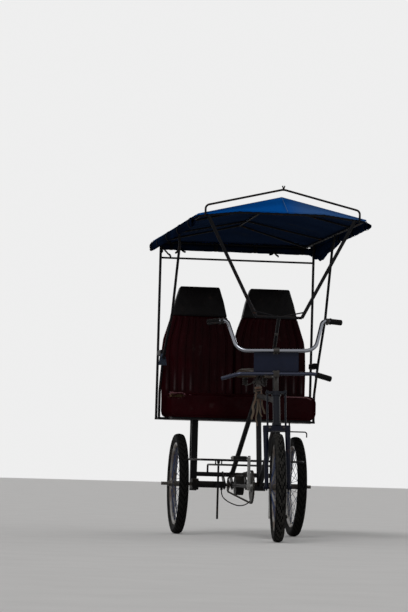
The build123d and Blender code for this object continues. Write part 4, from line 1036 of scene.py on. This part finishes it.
# Wheels: laced wire spokes between a hollow rim and a flanged hub
wheels = {
    "spokes": 36, "spokeRadius": 0.0014, "rimOuter": 0.2535, "rimInner": 0.2355, "rimHalf": 0.018,
    "hubRadius": 0.020, "flangeRadius": 0.036, "flangeInset": 0.0075, "flangeHalf": 0.0025,
    "crossing": 3, "nipple": 0.014, "valveRadius": 0.0032, "valveEnd": 0.036,
    "places": {
        # middle, body, hub length, bore
        "front": (0.0, frontAxleY, "front_wheel", 0.096, 0.0064),
        "rear_left": (trackHalf, axleY, "rear_wheel_left", 0.092, 0.0104),
        "rear_right": (-trackHalf, axleY, "driven_axle", 0.092, 0.0104),
    },
}
rimSteel = metal("rimSteel", (0.22, 0.215, 0.21), 0.30, (0.075, 0.045, 0.028), 0.75)
spokePaint = paint("spokePaint", (0.0060, 0.020, 0.070), (0.10, 0.06, 0.04), 0.34, 0.6, 0.2, 0.1)


def spunRing(mesh, profile, steps, material=0):
    # an (x, radius) outline turned about the X axis
    before = set(mesh.faces)
    verts = [mesh.verts.new((x, 0, radius)) for x, radius in profile]
    edges = [mesh.edges.new(pair) for pair in zip(verts, verts[1:] + verts[:1])]
    bmesh.ops.spin(mesh, geom=verts + edges, cent=(0, 0, 0), axis=(1, 0, 0), dvec=(0, 0, 0),
                   angle=2 * pi, steps=steps, use_merge=True)
    for face in set(mesh.faces) - before:
        face.material_index = material


def makeWheel(name, x, y, body, hubLength, bore):
    settings = wheels
    mesh = bmesh.new()
    outer, inner, half = settings["rimOuter"], settings["rimInner"], settings["rimHalf"]
    spunRing(mesh, mirrored([(half * 0.6, inner + 0.007), (half * 0.80, outer), (half, outer),
                             (half, outer - 0.009), (half * 0.55, inner)]), 96)
    edge = hubLength / 2
    flangeX = edge - settings["flangeInset"]
    hub, flange, thick = settings["hubRadius"], settings["flangeRadius"], settings["flangeHalf"]
    spunRing(mesh, mirrored([(edge, bore), (edge, hub * 0.92), (flangeX + thick, hub),
                             (flangeX + thick, flange), (flangeX - thick, flange), (flangeX - thick, hub),
                             (flangeX - 0.012, hub * 0.8)]), 32, 2)
    count = settings["spokes"]
    for index in range(count):
        side = 1 if index % 2 else -1
        lean = 1 if index % 4 < 2 else -1
        rimAngle = index * 2 * pi / count
        hubAngle = rimAngle + lean * settings["crossing"] * 2 * pi / count * 0.9
        start = Vector((side * flangeX * 0.97, (flange - 0.004) * sin(hubAngle),
                        (flange - 0.004) * cos(hubAngle)))
        end = Vector((side * 0.003, (inner + 0.003) * sin(rimAngle),
                      (inner + 0.003) * cos(rimAngle)))
        inward = (start - end).normalized()
        addRod(mesh, start, end, settings["spokeRadius"], 6, 1)
        addRod(mesh, end, end + inward * settings["nipple"], settings["spokeRadius"] * 1.7, 6, 1)
    addRod(mesh, (0.004, 0.0, -inner + 0.002), (0.004, 0.0, -inner + settings["valveEnd"]),
           settings["valveRadius"], 8)
    faceOut(mesh)
    placeWheel(mesh, name, x, y)
    newPiece(name.replace("_", "") + "WireWheel", mesh, [rimSteel, spokePaint, axleSteel],
             ["wheel_" + name], 35, body)


def placeWheel(mesh, name, x, y):
    bmesh.ops.translate(mesh, vec=(x, y, axleZ), verts=mesh.verts)
    if name == "front":
        turnWithBars(mesh)


# Tyres: a spun carcass whose tread blocks are raised face by face
tyres = {
    "steps": {"front": 96, "rear_left": 132, "rear_right": 132},
    # the blocks, the turn per metre of their chevron, where the tread begins, the rows' distances out
    "blockHeight": 0.0034, "blockInset": 0.0014, "slant": 1.5, "treadFrom": 0.2973,
    "rows": [0.0037, 0.0111, 0.0184, 0.0241],
    # x, radius below the blocks
    "wall": [(0.0172, 0.2545), (0.0205, 0.258), (0.0262, 0.268), (0.0298, 0.281), (0.0294, 0.290),
             (0.0262, 0.2975)],
    "tread": [(0.0220, 0.3012), (0.0148, 0.3044), (0.0074, 0.3060), (0.0, 0.3065)],
    "lining": [(-0.0150, 0.2560), (-0.0240, 0.2830), (0.0, 0.3010), (0.0240, 0.2830), (0.0150, 0.2560)],
}


def makeTyre(name, x, y, body, finish):
    settings = tyres
    steps = settings["steps"][name]
    half = settings["wall"] + settings["tread"]
    outline = half + [(-px, radius) for px, radius in reversed(half[:-1])] + settings["lining"]
    mesh = bmesh.new()
    spunRing(mesh, outline, steps)
    faceOut(mesh)
    # slant the tread so that its blocks make a chevron
    for vert in mesh.verts:
        if hypot(vert.co.y, vert.co.z) > settings["treadFrom"]:
            vert.co = Matrix.Rotation(abs(vert.co.x) * settings["slant"], 3, "X") @ vert.co
    step = 2 * pi / steps
    blocks = []
    for face in mesh.faces:
        middle = face.calc_center_median()
        if hypot(middle.y, middle.z) < settings["treadFrom"] + 0.0012:
            continue
        row = min(range(4), key=lambda index: abs(abs(middle.x) - settings["rows"][index]))
        turn = atan2(middle.y, middle.z) + abs(middle.x) * settings["slant"]
        index = round(turn / step - 0.5)
        if (index + row * 2 + (1 if middle.x > 0 else 0)) % 3:
            blocks.append(face)
    bmesh.ops.inset_individual(mesh, faces=blocks, thickness=settings["blockInset"], depth=0.0)
    raised = bmesh.ops.extrude_discrete_faces(mesh, faces=blocks)["faces"]
    for face in raised:
        for vert in face.verts:
            out = Vector((0, vert.co.y, vert.co.z)).normalized()
            vert.co += out * settings["blockHeight"]
    placeWheel(mesh, name, x, y)
    newPiece(name.replace("_", "") + "Treaded", mesh, [finish], ["tyre_" + name], 35, body)


for place, (x, y, body, hubLength, bore) in wheels["places"].items():
    makeWheel(place, x, y, body, hubLength, bore)
    makeTyre(place, x, y, body, tyreRubberFront if place == "front" else tyreRubberRear)
print("wheels made")

# Roller chain on its fixed loop, and the block pedals
chainSet = {
    "x": -0.048, "ring": (-0.204, 0.306, 0.0959), "sprocket": (axleY, axleZ, 0.0434), "pitch": 0.0127,
    "plateHalf": 0.0036, "plateThickness": 0.0010, "plateTall": 0.0076, "rollerRadius": 0.0027,
    "plateRound": 0.0022, "plateSpare": 0.0052, "linkStep": 0.0012,
}


def chainPlaces(settings):
    # the loop's points: round the ring's front, along the bottom, round the sprocket, back along the top
    ringY, ringZ, ringRadius = settings["ring"]
    rearY, rearZ, rearRadius = settings["sprocket"]
    ringMiddle = Vector((ringY, ringZ))
    rearMiddle = Vector((rearY, rearZ))
    run = rearMiddle - ringMiddle
    lean = asin((ringRadius - rearRadius) / run.length)
    heading = atan2(run.y, run.x)
    path = []
    for middle, radius, start, turn, count in (
            (ringMiddle, ringRadius, heading + pi / 2 - lean, pi + 2 * lean, 64),
            (rearMiddle, rearRadius, heading - pi / 2 + lean, pi - 2 * lean, 32)):
        for share in shares(count):
            angle = start + turn * share
            path.append(middle + Vector((cos(angle), sin(angle))) * radius)
    path.append(path[0])
    lengths = [(end - start).length for start, end in zip(path, path[1:])]
    count = round(sum(lengths) / settings["pitch"])
    spacing = sum(lengths) / count
    places = []
    index = 0
    passed = 0.0
    for link in range(count):
        while passed + lengths[index] < link * spacing:
            passed += lengths[index]
            index += 1
        places.append(path[index].lerp(path[index + 1], (link * spacing - passed) / lengths[index]))
    return places


def makeChain(settings):
    mesh = bmesh.new()
    places = chainPlaces(settings)
    for index, place in enumerate(places):
        following = places[(index + 1) % len(places)]
        start = Vector((settings["x"], place.x, place.y))
        end = Vector((settings["x"], following.x, following.y))
        run = end - start
        angle = atan2(run.z, run.y)
        # every second link's plates lie outside the others
        inward = 0.0 if index % 2 else settings["linkStep"]
        for side in (-1, 1):
            offset = Vector((side * (settings["plateHalf"] - inward), 0, 0))
            size = (settings["plateThickness"], run.length + settings["plateSpare"], settings["plateTall"])
            addBlock(mesh, (start + end) / 2 + offset, size, settings["plateRound"],
                     Matrix.Rotation(angle, 4, "X"), 1)
        addPin(mesh, start, (settings["plateHalf"], 0, 0), settings["rollerRadius"], 8)
    newPiece("rollerChain", mesh, [chainSteel], ["chain"])


makeChain(chainSet)

pedalSet = {"length": 0.092, "depth": 0.084, "thickness": 0.024, "x": 0.125, "y": -0.204,
            "heights": {"left": 0.136, "right": 0.476}, "ribs": 7, "spindle": 0.0105}


def makePedal(sideName, side, settings):
    mesh = bmesh.new()
    middle = Vector((side * settings["x"], settings["y"], settings["heights"][sideName]))
    length, depth, thickness = settings["length"], settings["depth"], settings["thickness"]
    for rearward in (-1, 1):
        place = middle + Vector((0, rearward * depth * 0.33, 0))
        addBlock(mesh, place, (length * 0.86, depth * 0.27, thickness * 0.80), 0.003)
        for rib in range(settings["ribs"]):
            x = (rib / (settings["ribs"] - 1) - 0.5) * length * 0.76
            addBlock(mesh, place + Vector((x, 0, 0)), (0.0052, depth * 0.29, thickness * 0.98), 0.0010)
    rubberFaces = len(mesh.faces)
    for end in (-1, 1):
        place = middle + Vector((end * length * 0.455, 0, 0))
        addBlock(mesh, place, (0.0026, depth * 0.90, thickness * 0.72), 0.0008)
        for rearward in (-1, 1):
            bolt = place + Vector((0, rearward * depth * 0.33, 0))
            addRod(mesh, bolt, bolt + Vector((end * 0.0045, 0, 0)), 0.0052, 6)
    addPin(mesh, middle, (length * 0.45, 0, 0), settings["spindle"], 20)
    mesh.faces.ensure_lookup_table()
    for face in mesh.faces[rubberFaces:]:
        face.material_index = 1
    newPiece(sideName + "BlockPedal", mesh, [gripRubber, nutSteel], ["pedal_" + sideName],
             body="pedal_" + sideName + "_body")


for sideName, side in (("left", 1), ("right", -1)):
    makePedal(sideName, side, pedalSet)
print("drive made")

# Ribbed rubber grips on the bars' ends, with a clamp inside the left one
gripSet = {
    "radius": 0.0150, "rib": 0.0016, "ribPitch": 0.0055, "flange": 0.0195, "clamp": 0.01612,
    # the bar's tip, its bend, the grip's length
    "ends": [
        ((0.386, -0.5567, 1.268), (0.276, -0.6067, 1.277), 0.078),
        ((-0.386, -0.5567, 1.268), (-0.276, -0.6067, 1.277), 0.078),
        ((0.314, -0.6906, 0.936), (0.215, -0.7226, 0.964), 0.096),
    ],
}


def makeGrips(settings):
    mesh = bmesh.new()
    for tip, bend, length in settings["ends"]:
        inward = (Vector(bend) - Vector(tip)).normalized()
        start = Vector(tip) - inward * 0.005
        points = [start, start + inward * 0.001]
        radii = [settings["radius"] * 0.75, settings["radius"]]
        count = round(length / settings["ribPitch"])
        for index in range(count):
            for part, radius in ((0.15, settings["rib"]), (0.6, settings["rib"]), (0.75, 0.0), (0.98, 0.0)):
                points.append(start + inward * (0.002 + (index + part) * (length - 0.008) / count))
                radii.append(settings["radius"] + radius)
        for at in (0.006, 0.0055, 0.001, 0.0):
            points.append(start + inward * (length - at))
            radii.append(settings["flange"] if 0 < at < 0.006 else settings["radius"])
        addTube(mesh, points, radii, 20)
    turnWithBars(mesh)
    newPiece("ribbedGrips", mesh, [gripRubber], ["grips"], 30, "steering")
    mesh = bmesh.new()
    tip, bend, length = settings["ends"][0]
    inward = (Vector(bend) - Vector(tip)).normalized()
    middle = Vector(tip) + inward * (length + 0.012)
    addPin(mesh, middle, inward * 0.009, settings["clamp"], 20)
    addBlock(mesh, middle - Vector((0, 0.004, 0.016)), (0.014, 0.016, 0.014), 0.002)
    turnWithBars(mesh)
    newPiece("gripClamp", mesh, [dullSteel], body="steering")


makeGrips(gripSet)

# Rags wound round the seat cluster, a pleated cloth on the right arm rest, bolts and tied ribbons
fittings = {
    "seatSlope": 0.2309, "seatFootY": -0.204, "seatFootZ": 0.306,
    "ragLow": 0.812, "ragHigh": 0.902, "ragRadius": 0.0185, "ragHalf": 0.0078, "ragTurns": 5,
    "ragRipple": 0.003, "ragSwell": 0.0024,
    # top and hanging end of each rag's tail, its half width
    "ragTails": [
        ((-0.016, -0.094, 0.872), (-0.046, -0.146, 0.706), 0.0075),
        ((0.014, -0.098, 0.880), (0.026, -0.140, 0.742), 0.0055),
        ((-0.008, -0.104, 0.840), (-0.022, -0.150, 0.668), 0.0050),
        ((-0.010, -0.100, 0.866), (0.012, -0.152, 0.724), 0.0045),
    ],
    "pleats": 9, "pleatMiddle": (-0.4900, 0.640, 1.0660), "pleatSize": (0.044, 0.055),
    # at the cloth's top and foot, how deep the pleats are and how wide it spreads
    "pleatDepth": (0.003, 0.008), "pleatSpread": (0.8, 1.15), "pleatWall": 0.0012,
    "knot": 0.011, "knotReach": 0.014,
    "crownBolts": [-0.040, 0.040], "crownHeight": 0.352, "crownFace": -0.018,
    "uprightBolt": (0.0, -0.672, 1.195),
    # the washer's thickness, radius and sides, how far forward the head reaches, its radius
    "crownSizes": (0.003, 0.0075, 20, 0.009, 0.0056), "uprightSizes": (0.012, 0.0105, 16, 0.020, 0.0075),
    # x of each bow's knot, then how far its two ends reach sideways and down
    "bows": [(-0.474, (-0.012, 0.022), (0.050, 0.050)), (-0.367, (-0.026, 0.026), (0.034, 0.018)),
             (0.236, (-0.030, 0.018), (0.024, 0.026))],
    "bowY": 0.8985, "bowZ": 1.782, "bowKnot": 0.0070, "bowReach": 0.008, "ribbon": 0.0072,
}


def seatPoint(settings, height):
    y = settings["seatFootY"] + (height - settings["seatFootZ"]) * settings["seatSlope"]
    return Vector((0, y, height))


def addStrip(mesh, start, end, halfWidth, waves, seed, flat=0.22, stray=0.010):
    # a hanging strip of cloth, crumpled along its length
    start, end = Vector(start), Vector(end)
    points = []
    widths = []
    for share in shares(16):
        point = start.lerp(end, share)
        point.x += waver(share * waves, seed, 0) * stray * share
        point.y += waver(share * waves, seed, 5) * stray * share
        points.append(point)
        swell = waver(share * 9, seed, 9) * 0.3
        widths.append(halfWidth * (0.55 + 0.45 * smooth(share * 2) + swell))
    addTube(mesh, points, widths, 10, flat=flat)


def makeRags(settings):
    mesh = bmesh.new()
    coil = []
    radii = []
    for share in shares(settings["ragTurns"] * 16):
        angle = share * settings["ragTurns"] * 2 * pi
        middle = seatPoint(settings, lerp(settings["ragLow"], settings["ragHigh"], share))
        reach = settings["ragRadius"] + waver(share * 14, 2, 2) * settings["ragRipple"]
        coil.append(middle + Vector((cos(angle), sin(angle), 0)) * reach)
        radii.append(settings["ragHalf"] + waver(share * 30, 7, 1) * settings["ragSwell"])
    addTube(mesh, coil, radii, 8, flat=0.34)
    for index, (start, end, halfWidth) in enumerate(settings["ragTails"]):
        addStrip(mesh, start, end, halfWidth, 3, index * 3.7, 0.30, 0.022)
    newPiece("seatRags", mesh, [ragCloth], crease=0)


def makePleats(settings):
    mesh = bmesh.new()
    width, drop = settings["pleatSize"]
    bmesh.ops.create_grid(mesh, x_segments=72, y_segments=12, size=0.5)
    for vert in mesh.verts:
        across, down = vert.co.x + 0.5, 0.5 - vert.co.y
        fold = sin(across * settings["pleats"] * 2 * pi) * lerp(*settings["pleatDepth"], down)
        spread = lerp(*settings["pleatSpread"], down)
        vert.co = Vector(settings["pleatMiddle"]) + Vector((
            (across - 0.5) * width * spread, -0.012 + fold, (0.5 - down) * drop))
    piece = newPiece("armCloth", mesh, [paleCloth], crease=0)
    thicken(piece, settings["pleatWall"])
    mesh = bmesh.new()
    knot = Vector(settings["pleatMiddle"]) + upward * drop * 0.62
    addPin(mesh, knot, (0, settings["knotReach"], 0), settings["knot"], 14)
    newPiece("armClothKnot", mesh, [paleCloth])


def addBolt(mesh, head, washer, washerRadius, sides, reach, radius):
    # a washer, and a hexagon head that stands forward of it
    head = Vector(head)
    face = head - Vector((0, washer, 0))
    addRod(mesh, head, face, washerRadius, sides)
    addRod(mesh, face, head - Vector((0, reach, 0)), radius, 6)


def makeBolts(settings):
    mesh = bmesh.new()
    for x in settings["crownBolts"]:
        addBolt(mesh, (x, settings["crownFace"], settings["crownHeight"]), *settings["crownSizes"])
    place = restTurn() @ Matrix.Translation(steering["foot"])
    place = place @ Matrix.Rotation(radians(-steering["lean"]), 4, "X")
    bmesh.ops.transform(mesh, matrix=place, verts=mesh.verts)
    newPiece("crownBolts", mesh, [dullSteel], body="steering")
    mesh = bmesh.new()
    addBolt(mesh, settings["uprightBolt"], *settings["uprightSizes"])
    newPiece("uprightBolt", mesh, [dullSteel])


def makeBows(settings):
    mesh = bmesh.new()
    for index, (x, *ends) in enumerate(settings["bows"]):
        knot = Vector((x, settings["bowY"], settings["bowZ"]))
        addPin(mesh, knot, (settings["bowReach"], 0, 0), settings["bowKnot"], 10)
        for reach, drop in ends:
            end = knot + Vector((reach, -0.010, -drop))
            addStrip(mesh, knot, end, settings["ribbon"], 4, index * 5 + reach * 50, 0.8)
    newPiece("curtainBows", mesh, [strapWeb], crease=0)


makeRags(fittings)
makePleats(fittings)
makeBolts(fittings)
makeBows(fittings)
print("fittings made")

# Floor, world and lamps
stage = {"floorRadius": 60.0, "floorColour": (0.80, 0.79, 0.78), "floorDark": (0.70, 0.69, 0.68),
         "skyLight": 0.36, "backdrop": (0.86, 0.86, 0.86), "sun": 0.85, "sunTurn": (44, -10, -18),
         "sunSoft": 20, "fill": 0.22, "fillTurn": (70, 10, 140)}


def makeStage(settings):
    mesh = bmesh.new()
    bmesh.ops.create_circle(mesh, cap_ends=True, segments=64, radius=settings["floorRadius"])
    data = bpy.data.meshes.new("floor")
    mesh.to_mesh(data)
    mesh.free()
    floor = linked("floor", data)
    ground = Finish("ground")
    mottled = ground.blend(ground.cloud(3, 3), settings["floorColour"], settings["floorDark"])
    ground.set(colour=mottled, rough=0.9)
    data.materials.append(ground.material)
    world = bpy.data.worlds.new("studio")
    world.use_nodes = True
    scene.world = world
    tree = world.node_tree
    tree.nodes.clear()
    rays, output, soft, seen, mixing = [tree.nodes.new("ShaderNode" + kind) for kind in (
        "LightPath", "OutputWorld", "Background", "Background", "MixShader")]
    soft.inputs["Strength"].default_value = settings["skyLight"]
    seen.inputs["Color"].default_value = (*settings["backdrop"], 1)
    # camera, glossy and transmitted rays see the backdrop, all others the soft sky
    seeing = rays.outputs["Is Camera Ray"]
    for kind in ("Is Glossy Ray", "Is Transmission Ray"):
        either = tree.nodes.new("ShaderNodeMath")
        either.operation = "MAXIMUM"
        tree.links.new(seeing, either.inputs[0])
        tree.links.new(rays.outputs[kind], either.inputs[1])
        seeing = either.outputs[0]
    for socket, part in zip(mixing.inputs, (seeing, soft.outputs[0], seen.outputs[0])):
        tree.links.new(part, socket)
    tree.links.new(mixing.outputs[0], output.inputs["Surface"])
    for name, strength, turn in (("key", settings["sun"], settings["sunTurn"]),
                                 ("fill", settings["fill"], settings["fillTurn"])):
        lamp = bpy.data.lights.new(name, "SUN")
        lamp.energy = strength
        lamp.angle = radians(settings["sunSoft"])
        linked(name, lamp).rotation_euler = [radians(part) for part in turn]


makeStage(stage)
print("stage made")
